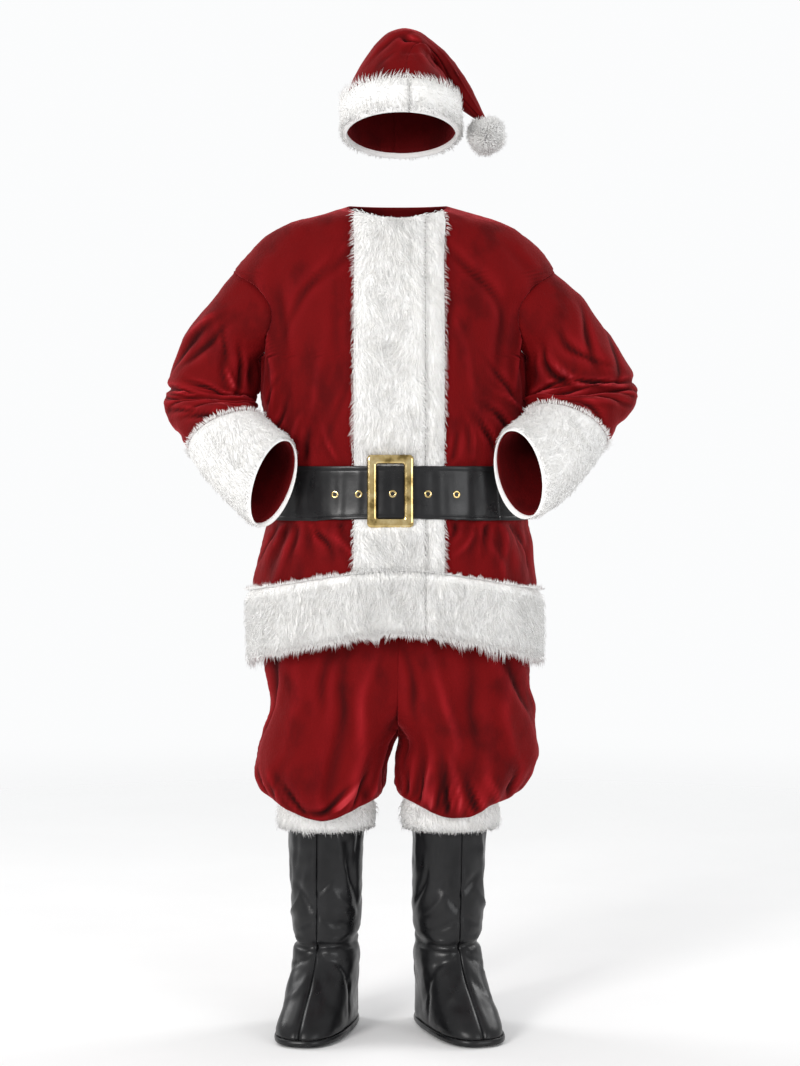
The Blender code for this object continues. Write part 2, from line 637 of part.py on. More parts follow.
def hat_cloth():
    def section_at(row):
        return lambda angle: ring_by_edges(row, 1, angle)

    place = tube_through([section_at(row) for row in HAT])
    return Cloth(place, (0.0, 1.0), HAT_FOLDS, HAT_RADIUS, HAT_LENGTH, (0.16, 0.30))


def seam_angle(cloth, angle, rows, gap=SEAM_FACETED):
    """Half of a seam's gap as an angle, at each row along the seam."""
    u = np.full(len(rows), float(angle))
    run = cloth.place(u + SHORT_STEP, rows) - cloth.place(u - SHORT_STEP, rows)
    return gap * SHORT_STEP / np.linalg.norm(run, axis=1)


def principled(kind):
    material = bpy.data.materials.get(kind) or bpy.data.materials.new(kind)
    color, roughness, metallic = COLORS[kind]
    material.use_nodes = True
    shader = material.node_tree.nodes["Principled BSDF"]
    shader.inputs["Base Color"].default_value = (*color, 1.0)
    shader.inputs["Roughness"].default_value = roughness
    shader.inputs["Metallic"].default_value = metallic
    return material


class Builder:
    """Puts each piece in the suit's collection, under the empty at its holding point."""

    def __init__(self):
        self.collection = bpy.data.collections.new("santa_suit")
        bpy.context.scene.collection.children.link(self.collection)
        self.holder = bpy.data.objects.new("suit_holding_point", None)
        self.holder.location = (0.0, 0.0, -HOLD_HEIGHT)
        self.collection.objects.link(self.holder)

    def add(self, name, mesh, kind):
        item = bpy.data.objects.new(name, mesh)
        item.parent = self.holder
        mesh.materials.append(principled(kind))
        self.collection.objects.link(item)
        return item

    def wall(self, name, outer, inner, kind, wrap=False):
        """A closed wall between two matching grids of points, in rows and columns."""
        rows, columns = outer.shape[:2]
        points = np.concatenate((outer.reshape(-1, 3), inner.reshape(-1, 3)))
        inward = rows * columns
        across = columns if wrap else columns - 1
        faces = []
        for row in range(rows - 1):
            for col in range(across):
                a = row * columns + col
                b = row * columns + (col + 1) % columns
                for corners in ((a, b, b + columns), (a, b + columns, a + columns)):
                    faces.append(corners)
                    faces.append(tuple(inward + corner for corner in reversed(corners)))
        top = (rows - 1) * columns
        for col in range(across):
            following = (col + 1) % columns
            low = (following, col, inward + col, inward + following)
            faces.append(low)
            faces.append(tuple(top + corner for corner in reversed(low)))
        if not wrap:
            for row in range(rows - 1):
                for col in (0, columns - 1):
                    a = row * columns + col
                    b = a + columns
                    rim = ((a, b, inward + b), (a, inward + b, inward + a))
                    faces.extend(rim if col == 0 else [corners[::-1] for corners in rim])
        return self.closed(name, points, faces, kind)

    def closed(self, name, points, faces, kind):
        mesh = bpy.data.meshes.new(name)
        mesh.from_pydata([tuple(point) for point in points], [], faces)
        solid = bmesh.new()
        solid.from_mesh(mesh)
        bmesh.ops.recalc_face_normals(solid, faces=solid.faces)
        solid.to_mesh(mesh)
        solid.free()
        mesh.shade_smooth()
        mesh.set_sharp_from_angle(angle=math.radians(50))
        return self.add(name, mesh, kind)


def spread(start, end, count):
    """Evenly spaced columns between two edges, one row for each height."""
    share = np.linspace(0, 1, count + 1)
    return start[:, None] * (1 - share) + end[:, None] * share


def cloth_wall(builder, name, cloth, u, v, outer, inner, kind, wrap=False):
    v = np.broadcast_to(np.asarray(v, float)[:, None], u.shape)
    return builder.wall(name, cloth.points(u, v, outer), cloth.points(u, v, inner), kind, wrap)


def front_columns(heights):
    """Column angles of both jacket fronts, with the bands' edges among them."""
    left_band = np.stack([angle_across(mark, heights) for mark in LEFT_MARKS], axis=1)
    right_band = np.stack([angle_across(mark, heights) for mark in RIGHT_MARKS], axis=1)
    edge = side_angle(heights, ARMHOLE_FRONT, SEAM / 2)
    left_side = spread(-edge, left_band[:, 0], SIDE_COLUMNS)[:, :-1]
    right_side = spread(right_band[:, -1], edge, SIDE_COLUMNS)[:, 1:]
    left = np.concatenate((left_side, left_band), axis=1)
    right = np.concatenate((right_band, right_side), axis=1)
    return left, right


def back_columns(heights):
    edge = side_angle(heights, ARMHOLE_BACK, SEAM / 2)
    return spread(2 * QUARTER - edge, 2 * QUARTER + edge, BACK_COLUMNS)


def lapped(columns):
    """The right front runs under the left one: its first columns lie deeper."""
    depth = np.zeros(columns.shape[1])
    depth[:UNDER_COLUMNS] = -(PLUSH + LAP_CLEAR)
    return np.broadcast_to(depth, columns.shape)


def jacket_body(builder, torso):
    heights = np.array(TORSO_ROWS)
    left, right = front_columns(heights)
    back = back_columns(heights)
    under = lapped(right)
    cloth_wall(builder, "jacket_front_left", torso, left, heights, 0.0, -PLUSH, "plush")
    cloth_wall(builder, "jacket_front_right", torso, right, heights, under, under - PLUSH, "plush")
    cloth_wall(builder, "jacket_back", torso, back, heights, 0.0, -PLUSH, "plush")


def edge_taper(count, edge, next_in):
    taper = np.ones(count)
    taper[0] = edge
    taper[-1] = edge
    taper[1] = next_in
    taper[-2] = next_in
    return taper


def front_bands(builder, torso):
    """Fur bands down both fronts, pressed flat where the belt and buckle lie over them."""
    heights = np.array([row for row in TORSO_ROWS if row >= HEM_BAND_TOP])
    heights[0] = HEM_BAND_TOP + LAID_CLEAR
    left, right = front_columns(heights)
    pile = np.where((heights >= PRESSED_ROWS[0]) & (heights <= PRESSED_ROWS[1]), FUR_PRESSED, FUR)
    pile[-1] = FUR * BAND_TOP
    for name, columns, under in (
        ("front_band_over", left[:, SIDE_COLUMNS:], 0.0),
        ("front_band_under", right[:, UNDER_BAND], lapped(right)[:, UNDER_BAND]),
    ):
        taper = edge_taper(columns.shape[1], *BAND_EDGE)
        outer = np.maximum(pile[:, None] * taper, FUR_PRESSED * PRESSED_LEAST)
        cloth_wall(builder, name, torso, columns, heights, outer, under + SEAM, "fur")


def hem_bands(builder, torso):
    rows = tuple(row for row in TORSO_ROWS if row <= HEM_BAND_TOP)
    heights = np.array((HEM - FUR_HANG,) + rows)
    left, right = front_columns(heights)
    back = back_columns(heights)
    pile = (FUR * edge_taper(len(heights), *HEM_EDGE))[:, None]
    under = lapped(right)[:, 2:]
    cloth_wall(builder, "hem_band_front_left", torso, left, heights, pile, SEAM, "fur")
    cloth_wall(builder, "hem_band_front_right", torso, right[:, 2:], heights, pile, under + SEAM, "fur")
    cloth_wall(builder, "hem_band_back", torso, back, heights, pile, SEAM, "fur")


def hem_facing(builder, torso):
    heights = np.array((FACING_LOW,) + TORSO_ROWS[:2])
    columns = front_columns(heights)[0][:, FACING_COLUMNS]
    outer = -(PLUSH + SEAM)
    cloth_wall(builder, "hem_facing", torso, columns, heights, outer, outer - SATIN, "satin")


def ring_angles(count):
    return np.linspace(-math.pi, math.pi, count, endpoint=False)


def sleeves(builder, torso):
    around = ring_angles(SLEEVE_ACROSS)
    for name, table, side in (("left", SLEEVE_LEFT, -1), ("right", SLEEVE_RIGHT, 1)):
        cloth = sleeve_cloth(torso, table, side)
        u = np.broadcast_to(around, (len(SLEEVE_ROWS), SLEEVE_ACROSS))
        cloth_wall(builder, f"sleeve_{name}", cloth, u, SLEEVE_ROWS, 0.0, -PLUSH, "plush", True)
        u = np.broadcast_to(around, (len(CUFF_ROWS), SLEEVE_ACROSS))
        body_side = CUFF_PRESSED_SIDE + (1 - CUFF_PRESSED_SIDE) * (1 + np.cos(u)) / 2
        pile = FUR * np.array(CUFF_FUR)[:, None] * body_side
        cloth_wall(builder, f"cuff_{name}", cloth, u, CUFF_ROWS, pile, SEAM, "fur", True)


def belt_offset(angle):
    """Distance of the strap's inner face from the jacket, by its unrolled angle."""
    turn = (angle + math.pi) % (2 * math.pi) - math.pi
    over, level = np.radians(BELT_BAND_RAMP)
    share = np.clip((over - np.abs(turn)) / (over - level), 0, 1)
    over_band = FUR_PRESSED * share * share * (3 - 2 * share)
    low, high = np.radians(BELT_RAMP)
    lap = np.clip((angle - low) / (high - low), 0, 1)
    return BELT_CLEAR + over_band + (BELT_THICKNESS + LAID_CLEAR) * lap


def belt(builder, torso):
    """One strap: it starts under the buckle, goes once round and laps over its start."""
    heights = np.array((BELT_LOW, 1.000, BELT_HIGH))
    left, right = front_columns(heights)
    back = back_columns(heights)
    whole_turn = 2 * math.pi
    lap = right[:, 2:] + whole_turn
    lap = lap[:, lap[1] < whole_turn + math.radians(BELT_LAP_END)]
    u = np.concatenate((right[:, 1:], back[:, 1:], left[:, 1:] + whole_turn, lap), axis=1)
    inner = belt_offset(u)
    cloth_wall(builder, "belt_strap", torso, u, heights, inner + BELT_THICKNESS, inner, "vinyl")


def belt_face(torso, across, row):
    """A point on the strap's flat outer facets near the front, at a distance across."""
    heights = np.array((row,))
    columns = np.sort(np.concatenate([side[0] for side in front_columns(heights)]))
    outer = belt_offset(columns + 2 * math.pi) + BELT_THICKNESS
    points = torso.points(columns, row, outer)
    angle = angle_across(across, heights)
    return np.array([np.interp(angle[0], columns, points[:, axis]) for axis in range(3)])


def rounded_frame(width, height, corner, steps):
    """Points round a rectangle with round corners."""
    corners = ((1, 1), (-1, 1), (-1, -1), (1, -1))
    points = []
    for quarter, (side, up) in enumerate(corners):
        middle_x = side * (width / 2 - corner)
        middle_z = up * (height / 2 - corner)
        for step in range(steps + 1):
            angle = (quarter + step / steps) * QUARTER
            points.append((middle_x + corner * math.cos(angle), middle_z + corner * math.sin(angle)))
    return np.array(points)


def buckle(builder, torso):
    """A flat frame with bevelled edges, laid against the belt's outer face."""
    heights = np.array((PRESSED_ROWS[0], BELT_LOW, 1.000, BELT_HIGH, PRESSED_ROWS[1]))
    angle = angle_across(BUCKLE_ACROSS, heights)
    outer_face = belt_offset(angle + 2 * math.pi) + BELT_THICKNESS
    outer_face[[0, -1]] = FUR_PRESSED
    seats = torso.points(angle, heights, outer_face)
    middle = (seats[1] + seats[3]) / 2
    up = seats[3] - seats[1]
    up = up / np.linalg.norm(up)
    across = np.array((1.0, 0.0, 0.0))
    out = np.cross(across, up)
    back = middle + out * (np.max((seats - middle) @ out) + LAID_CLEAR)
    rims = (
        (BUCKLE_SIZE, BUCKLE_CORNER, 0.0, 0.0),
        (BUCKLE_SIZE, BUCKLE_CORNER, 0.0, BUCKLE_THICKNESS - BUCKLE_BEVEL),
        (BUCKLE_SIZE, BUCKLE_CORNER, 2 * BUCKLE_BEVEL, BUCKLE_THICKNESS),
        (BUCKLE_WINDOW, WINDOW_CORNER, -2 * BUCKLE_BEVEL, BUCKLE_THICKNESS),
        (BUCKLE_WINDOW, WINDOW_CORNER, 0.0, BUCKLE_THICKNESS - BUCKLE_BEVEL),
        (BUCKLE_WINDOW, WINDOW_CORNER, 0.0, 0.0),
    )
    loops = []
    for (width, height), corner, inset, depth in rims:
        flat = rounded_frame(width - inset, height - inset, corner - inset / 2, CORNER_STEPS)
        loops.append(back + flat[:, :1] * across + flat[:, 1:] * up + out * depth)
    points = np.concatenate(loops)
    count = len(loops[0])
    faces = []
    for ring in range(len(loops)):
        following = (ring + 1) % len(loops)
        for step in range(count):
            turn = (step + 1) % count
            faces.append((ring * count + step, ring * count + turn,
                          following * count + turn, following * count + step))
    builder.closed("belt_buckle", points, faces, "brass")


def eyelets(builder, torso):
    reach = EYELET_RADIUS + EYELET_WIRE
    for number, across in enumerate(EYELET_PLACES, start=1):
        places = np.linspace(across - reach, across + reach, EYELET_SAMPLES)
        under = np.array([belt_face(torso, place, EYELET_ROW) for place in places])
        upper, lower = (belt_face(torso, across, EYELET_ROW + side) for side in (reach, -reach))
        axis = np.cross(under[-1] - under[0], upper - lower)
        axis = axis / np.linalg.norm(axis)
        middle = under[len(under) // 2]
        bulge = np.max((under - middle) @ axis)
        seat = middle + axis * (bulge + LAID_CLEAR + EYELET_WIRE)
        around = ring_angles(EYELET_SIDES[0])
        points = []
        side = np.cross(axis, (0.0, 0.0, 1.0))
        side = side / np.linalg.norm(side)
        up = np.cross(side, axis)
        for turn in around:
            spoke = side * math.cos(turn) + up * math.sin(turn)
            for bend in ring_angles(EYELET_SIDES[1]):
                outward = EYELET_RADIUS + EYELET_WIRE * math.cos(bend)
                points.append(seat + spoke * outward + axis * EYELET_WIRE * math.sin(bend))
        faces = []
        turns, bends = EYELET_SIDES
        for turn in range(turns):
            for bend in range(bends):
                here = turn * bends
                after = (turn + 1) % turns * bends
                wrap = (bend + 1) % bends
                faces.append((here + bend, after + bend, after + wrap, here + wrap))
        builder.closed(f"eyelet_{number}", points, faces, "brass")


def trousers(builder):
    rows = np.array(LEG_ROWS, float)
    for name, table, folds, side in (
        ("left", LEG_LEFT, LEG_LEFT_FOLDS, -1),
        ("right", LEG_RIGHT, LEG_RIGHT_FOLDS, 1),
    ):
        leg = leg_cloth(table, folds, side)
        seam = seam_angle(leg, side * QUARTER, rows)
        inner = -side * (middle_angle(leg, rows, side, False) - seam)
        outer = side * (QUARTER - seam)
        cloth_wall(builder, f"trouser_front_{name}", leg, spread(outer, inner, LEG_ACROSS), rows,
                   0.0, -PLUSH, "plush")
        inner = -side * (middle_angle(leg, rows, side, True) + seam)
        outer = -side * (3 * QUARTER - seam)
        cloth_wall(builder, f"trouser_back_{name}", leg, spread(inner, outer, LEG_ACROSS), rows,
                   0.0, -PLUSH, "plush")
    turns = np.linspace(-QUARTER, 3 * QUARTER, 4 * LEG_ACROSS, endpoint=False)
    around = np.broadcast_to(turns, (len(WAISTBAND_ROWS), len(turns)))
    cloth_wall(builder, "waistband", leg, around, WAISTBAND_ROWS, SEAM + WAISTBAND_THICKNESS,
               SEAM, "plush", True)


def knee_cuffs(builder):
    around = ring_angles(KNEE_ACROSS)
    for name, middle_x in (("left", KNEE_LEFT_X), ("right", KNEE_RIGHT_X)):
        shells = []
        for face in ("outside", "inside"):
            radius = column(KNEE_COLUMNS, KNEE, face)[:, None]
            height = column(KNEE_COLUMNS, KNEE, "height")[:, None]
            x = middle_x + radius * np.sin(around)
            y = KNEE_MIDDLE_Y - radius * np.cos(around)
            shells.append(np.stack((x, y, np.broadcast_to(height, x.shape)), axis=-1))
        builder.wall(f"knee_cuff_{name}", shells[0], shells[1], "fur", True)


def boot_covers(builder):
    for name, place_row, side in (("left", BOOT_LEFT_PLACE, -1), ("right", BOOT_RIGHT_PLACE, 1)):
        cloth = boot_cloth(place_row)
        rows = np.array(BOOT_ROWS)
        front = seam_angle(cloth, 0.0, rows)
        back = seam_angle(cloth, math.pi, rows)
        right_half = spread(front, math.pi - back, BOOT_ACROSS)
        left_half = -right_half[:, ::-1]
        outer_half, inner_half = (left_half, right_half) if side < 0 else (right_half, left_half)
        for half, u in (("outer", outer_half), ("inner", inner_half)):
            cloth_wall(builder, f"boot_{name}_{half}", cloth, u, rows, 0.0, -VINYL, "vinyl")
        u = np.broadcast_to(ring_angles(2 * BOOT_ACROSS), (3, 2 * BOOT_ACROSS))
        bulge = np.array(BINDING_BULGE)[:, None]
        cloth_wall(builder, f"boot_{name}_binding", cloth, u, BINDING_ROWS, bulge, -VINYL, "vinyl", True)


def hat_half(cloth, rows):
    """Column angles of half the hat, from its front seam to its back seam."""
    seam = math.radians(HAT_SEAM)
    front = seam_angle(cloth, seam, rows, SEAM_HAT)
    back = seam_angle(cloth, seam + math.pi, rows, SEAM_HAT)
    return spread(front, math.pi - back, HAT_ACROSS)


def hat(builder):
    cloth = hat_cloth()
    seam = math.radians(HAT_SEAM)
    rows = np.array(HAT_ROWS)
    half = hat_half(cloth, rows)
    for name, u in (("right", seam + half), ("left", seam - half[:, ::-1])):
        cloth_wall(builder, f"hat_crown_{name}", cloth, u, rows, 0.0, -PLUSH, "plush")
    half = hat_half(cloth, np.array(HAT_BAND_ROWS))
    u = np.concatenate((seam + half, seam + 2 * math.pi - half[:, -2::-1]), axis=1)
    pile = (FUR * edge_taper(len(HAT_BAND_ROWS), *HAT_BAND_EDGE))[:, None]
    cloth_wall(builder, "hat_band", cloth, u, HAT_BAND_ROWS, pile, SEAM, "fur")


def pompom(builder):
    """A ball of fur locks that stand apart on a round backing, left bare where it is tied on."""
    ball = bmesh.new()
    bmesh.ops.create_icosphere(ball, subdivisions=2, radius=POMPOM_CORE)
    ball.normal_update()
    locks = [face for face in ball.faces if np.dot(face.normal, POMPOM_TIE) < POMPOM_BARE]
    bmesh.ops.inset_individual(ball, faces=locks, thickness=POMPOM_GAP)
    tips = bmesh.ops.extrude_discrete_faces(ball, faces=locks)["faces"]
    for number, tip in enumerate(tips):
        middle = tip.calc_center_median()
        reach = POMPOM_REACH - POMPOM_UNEVEN * (number % 3)
        goal = middle.normalized() * reach
        for corner in tip.verts:
            corner.co = goal + (corner.co - middle) * POMPOM_TIP
    mesh = bpy.data.meshes.new("hat_pompom")
    ball.to_mesh(mesh)
    ball.free()
    item = builder.add("hat_pompom", mesh, "fur")
    item.location = POMPOM_MIDDLE


def main():
    clear_scene()
    builder = Builder()
    torso = Cloth(torso_place, (TORSO[0][0], TORSO[-1][0]), TORSO_FOLDS, TORSO_RADIUS, 1.0)
    jacket_body(builder, torso)
    sleeves(builder, torso)
    front_bands(builder, torso)
    hem_bands(builder, torso)
    hem_facing(builder, torso)
    belt(builder, torso)
    buckle(builder, torso)
    eyelets(builder, torso)
    trousers(builder)
    knee_cuffs(builder)
    boot_covers(builder)
    hat(builder)
    pompom(builder)


main()
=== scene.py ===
"""Looks of the santa suit: crushed plush, fur, vinyl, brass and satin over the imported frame."""

import math

import bpy
import numpy as np
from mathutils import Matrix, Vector


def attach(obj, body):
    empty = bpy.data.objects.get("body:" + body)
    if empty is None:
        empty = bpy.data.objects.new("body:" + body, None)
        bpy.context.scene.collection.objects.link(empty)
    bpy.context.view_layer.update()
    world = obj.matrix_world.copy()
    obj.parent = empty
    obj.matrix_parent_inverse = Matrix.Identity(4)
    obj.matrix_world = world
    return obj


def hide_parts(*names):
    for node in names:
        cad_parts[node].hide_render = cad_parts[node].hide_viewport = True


def thousandths(first, last, rows):
    """Rows whose entries from first to last are written in thousandths, such as millimetres."""
    return tuple(
        row[:first] + tuple(size / 1000 for size in row[first:last + 1]) + row[last + 1:]
        for row in rows
    )


# The same driving sizes as the solids: values in metres, tables in thousandths;
# heights are above the ground
HOLD_HEIGHT = 1.515
PLUSH = 0.0026
VINYL = 0.0016
SATIN = 0.0010
SEAM = 0.0003
SEAM_FACETED = 0.0005
SEAM_HAT = 0.0010
LAID_CLEAR = 0.00045
FUR = 0.0135
FUR_PRESSED = 0.0042
FUR_HANG = 0.009
ROUNDNESS = 2.35
SHORT_STEP = 0.001
QUARTER = math.pi / 2
WHOLE_TURN = 2 * math.pi

# Heights that the jacket's parts share
HEM = 0.692
HEM_BAND_TOP = 0.810
BELT_LOW = 0.951
BELT_HIGH = 1.051
ARMPIT = 1.250
SHOULDER = 1.410
NECKLINE = 1.535

# Front opening and its two fur bands, as distances across the front from the middle
OPENING = 0.049
BAND_LEFT_EDGE = -0.079
BAND_RIGHT_EDGE = 0.083
LAP = 0.018
LAP_CLEAR = 0.0005

# Jacket body sections: half widths to each side, depths to front and back, front rise
TORSO_COLUMNS = ("height", "left", "right", "front", "back", "rise")
TORSO = thousandths(0, 5, (
    (675, 268, 260, 206, 160, 74),
    (760, 271, 259, 207, 158, 66),
    (830, 269, 256, 203, 152, 54),
    (900, 255, 251, 194, 143, 34),
    (951, 241, 242, 181, 132, 12),
    (1000, 235, 237, 177, 127, 8),
    (1051, 236, 236, 176, 128, 5),
    (1100, 242, 237, 181, 138, 0),
    (1180, 251, 232, 180, 145, 0),
    (1250, 252, 232, 170, 148, 0),
    (1340, 268, 252, 148, 142, 0),
    (1410, 303, 288, 118, 126, 0),
    (1445, 277, 270, 104, 114, 0),
    (1475, 246, 238, 95, 104, -3),
    (1495, 214, 206, 90, 98, -8),
    (1515, 158, 155, 85, 93, -18),
    (1535, 92, 92, 82, 86, -34),
))
PRESSED_ROWS = (0.914, 1.078)
TORSO_RADIUS = 0.22

# Folds: place round in degrees from the front; then in thousandths the height or share along,
# half length, half width and depth, where minus is a trough; lean from the upright in degrees
TORSO_FOLDS = thousandths(1, 4, (
    (-62, 880, 60, 16, -8, 12),
    (-44, 900, 55, 14, -6, -8),
    (-31, 895, 50, 14, 5, -14),
    (38, 895, 55, 15, -6, 10),
    (58, 885, 60, 16, 6, -10),
    (74, 880, 60, 15, -7, 8),
    (-70, 1110, 50, 16, 6, -20),
    (-48, 1105, 45, 14, -5, 15),
    (40, 1105, 45, 14, -5, -12),
    (64, 1110, 50, 16, 6, 18),
    (-64, 1300, 70, 14, -8, -8),
    (60, 1290, 70, 14, -8, 10),
    (-46, 1420, 45, 14, -5, 38),
    (48, 1420, 45, 14, -5, -38),
    (120, 880, 60, 18, -8, 0),
    (146, 890, 60, 18, 6, 6),
    (168, 880, 65, 18, -8, -5),
    (-158, 885, 60, 18, 6, 5),
    (-128, 880, 60, 18, -7, -6),
    (140, 1110, 50, 18, 6, 10),
    (-140, 1110, 50, 18, 6, -10),
    (180, 1300, 90, 20, -5, 0),
))

# Armhole: how far its front and back edges lie from the side, in degrees
ARMHOLE_FRONT = 20
ARMHOLE_BACK = 18

# Sleeve sections: outer and inner edge as seen from the front, middle and half depth, and the
# turn of the section towards the viewer in degrees. The first section is the armhole.
# Columns: outer x, outer z, inner x, inner z, middle y, half depth, turn
SLEEVE_LEFT = thousandths(0, 5, (
    (-347, 1357, -256, 1240, 4, 84, 0),
    (-388, 1304, -256, 1222, 4, 82, 0),
    (-414, 1250, -256.5, 1203, 2, 79, 0),
    (-429, 1208, -259, 1186, -4, 76, 0),
    (-436, 1178, -263, 1171, -14, 74, 6),
    (-427, 1146, -263, 1158, -32, 71, 16),
    (-404, 1108, -257, 1147, -60, 67, 27),
    (-374, 1068, -247, 1138, -93, 62, 36),
    (-338, 1030, -233, 1125, -132, 56, 42),
    (-292, 986, -215, 1112, -168, 51, 44),
    (-246, 948, -198, 1100, -200, 48, 44),
))
SLEEVE_RIGHT = thousandths(0, 5, (
    (337, 1368, 235.5, 1240, 4, 84, 0),
    (375, 1318, 235.5, 1223, 2, 82, 0),
    (412, 1265, 235.5, 1206, -2, 79, 0),
    (438, 1222, 235.5, 1190, -10, 76, 0),
    (446, 1190, 235.5, 1177, -20, 74, 6),
    (436, 1160, 235.5, 1166, -36, 71, 16),
    (407, 1124, 240, 1156, -62, 67, 28),
    (372, 1082, 236, 1147, -94, 62, 40),
    (336, 1042, 227, 1136, -132, 57, 48),
    (288, 996, 213, 1127, -168, 52, 52),
    (230, 962, 200, 1118, -200, 49, 54),
))
SLEEVE_END = 0.985
CUFF_ROWS = (0.71, 0.80, 0.89, 0.985, 1.0)
CUFF_FUR = (0.45, 0.95, 1.00, 0.92, 0.50)
CUFF_PRESSED_SIDE = 0.35
SLEEVE_RADIUS = 0.078
SLEEVE_LENGTH = 0.52
SLEEVE_FADE = (0.02, 0.14)
ARMHOLE_TUCK = 0.0012
ARMHOLE_STEPS = 60
SLEEVE_FOLDS = thousandths(1, 4, (
    (-60, 430, 50, 12, -10, 78),
    (10, 470, 55, 13, -11, 82),
    (48, 400, 40, 11, -9, 60),
    (70, 500, 50, 14, 9, 84),
    (55, 220, 55, 12, -9, 6),
    (-20, 600, 50, 12, 6, 64),
    (150, 450, 55, 13, -8, 80),
    (-140, 520, 50, 13, 6, 76),
))

# Trouser leg sections: the middle's distance from the suit's middle, half widths to the inner
# and outer side of the leg, edges to front and back, and how far the front sags.
# Above the crotch, row 6, the inner side runs past the middle, where the section is cut off.
LEG_COLUMNS = ("height", "middle", "inner", "outer", "front", "back", "sag")
LEG_LEFT = thousandths(0, 6, (
    (456, 134.5, 80.5, 80.5, -86.5, 74.5, 0),
    (442, 135.5, 94, 94, -104, 90, 16),
    (437, 138.5, 104, 104, -118, 100, 34),
    (449, 143.5, 115.5, 115.5, -131, 111, 34),
    (479, 146.5, 122.5, 122.5, -140, 118, 16),
    (510, 139, 124, 124, -141, 122, 0),
    (543.6, 126.5, 126.3, 126.5, -139, 126, 0),
    (580, 107, 137, 137, -138, 130, 0),
    (610, 87, 152, 152, -139, 132, 0),
    (645, 67.5, 177.5, 177.5, -142, 134, 0),
    (690, 40, 210, 210, -147, 136, 0),
    (780, 0, 237, 238, -150, 136, 0),
    (880, 0, 215, 215, -142, 124, 0),
    (950, 0, 192, 192, -130, 112, 0),
    (1000, 0, 180, 180, -122, 104, 0),
))
LEG_RIGHT = thousandths(0, 6, (
    (456, 98, 80.5, 80.5, -86.5, 74.5, 0),
    (442, 101.5, 91.5, 93, -104, 90, 14),
    (437, 107, 103.5, 103, -118, 100, 30),
    (450, 113.5, 114.5, 112.5, -131, 110, 30),
    (479, 122, 125, 125, -140, 118, 14),
    (510, 129.5, 132.5, 132.5, -141, 122, 0),
    (543.6, 126.5, 126.3, 133.5, -139, 126, 0),
    (580, 107, 137, 149, -138, 130, 0),
    (610, 87, 152, 167, -139, 132, 0),
    (645, 67.5, 177.5, 178.5, -142, 134, 0),
    (690, 40, 210, 206, -147, 136, 0),
    (780, 0, 237, 236, -150, 136, 0),
    (880, 0, 215, 215, -142, 124, 0),
    (950, 0, 192, 192, -130, 112, 0),
    (1000, 0, 180, 180, -122, 104, 0),
))
SAG_PEAK = 11.0
LEG_CROTCH_ROW = 6
LEG_RADIUS = 0.12
LEG_LENGTH = 0.42
LEG_FADE = (0.14, 0.24)
LEG_LEFT_FOLDS = thousandths(1, 4, (
    (10, 270, 75, 18, -12, 2),
    (29, 270, 60, 13, 8, 4),
    (-42, 240, 50, 13, -8, 24),
    (42, 240, 45, 12, -7, -18),
    (68, 260, 50, 14, 6, -10),
    (-78, 560, 45, 14, -10, 14),
    (-108, 250, 50, 15, -8, 8),
    (-142, 250, 55, 15, -9, 0),
    (172, 240, 55, 15, -9, 6),
    (130, 250, 50, 15, -8, -8),
))
LEG_RIGHT_FOLDS = thousandths(1, 4, (
    (-44, 250, 55, 11, -11, 10),
    (-20, 250, 55, 11, -10, -4),
    (-32, 270, 50, 10, 6, 2),
    (18, 260, 55, 14, 7, -10),
    (46, 250, 50, 14, -9, -26),
    (80, 540, 50, 14, -9, -12),
    (108, 250, 50, 15, -8, -8),
    (145, 250, 55, 15, -9, 0),
    (-170, 240, 55, 15, -9, 6),
    (-130, 250, 50, 15, -8, 8),
))
WAISTBAND_ROWS = (13.3, 14.0)
WAISTBAND_THICKNESS = 0.0030

# Knee cuffs: middle across for each leg, and their common sections
KNEE_MIDDLE_Y = -0.006
KNEE_LEFT_X = -0.1345
KNEE_RIGHT_X = 0.0980
KNEE_COLUMNS = ("height", "inside", "outside")
KNEE = thousandths(0, 2, (
    (455.6, 76.8, 80.1),
    (440, 76.8, 85),
    (415, 76.5, 93.5),
    (387, 76, 91.5),
    (375, 76, 85),
))

# Boot covers: half width, reach to toe and to heel from the ankle's middle, how far forward
# the section is widest, and how square its corners are
BOOT_COLUMNS = ("height", "side", "toe", "heel", "forward", "power")
BOOT = thousandths(0, 4, (
    (4, 62.5, 200, 78, 70, 2.7),
    (24, 62, 193, 79, 66, 2.7),
    (46, 61, 171, 79, 52, 2.6),
    (72, 60, 139, 78, 34, 2.5),
    (100, 60.5, 106, 76, 16, 2.4),
    (130, 62, 82, 73, 4, 2.2),
    (160, 60, 71.5, 71, 0, 2.1),
    (200, 64, 71, 71, 0, 2.1),
    (280, 67.5, 70, 70, 0, 2.1),
    (360, 69, 69, 69, 0, 2.1),
    (425, 69, 69, 69, 0, 2.1),
))
BOOT_ANKLE = 0.160
BOOT_LOW = 0.0145
BOOT_TOP = 0.425
BOOT_RADIUS = 0.068
BINDING_LOW = 0.0045
BINDING_HIGH = 0.0139
# Each cover's ankle: across, along, turn outwards in degrees, and lean outwards at the top
BOOT_LEFT_PLACE = (-0.1345, -0.006, -14.0, 0.000)
BOOT_RIGHT_PLACE = (0.0925, -0.006, 19.0, 0.006)
BOOT_FOLDS = thousandths(1, 4, (
    (0, 160, 50, 8, -5, 88),
    (-80, 165, 45, 8, -5, 80),
    (75, 165, 45, 8, -5, -80),
    (-40, 118, 35, 9, -4, 60),
    (42, 118, 35, 9, -4, -60),
    (-30, 290, 60, 12, -4, 20),
    (60, 300, 70, 12, -4, -12),
    (180, 165, 45, 10, -5, 88),
))

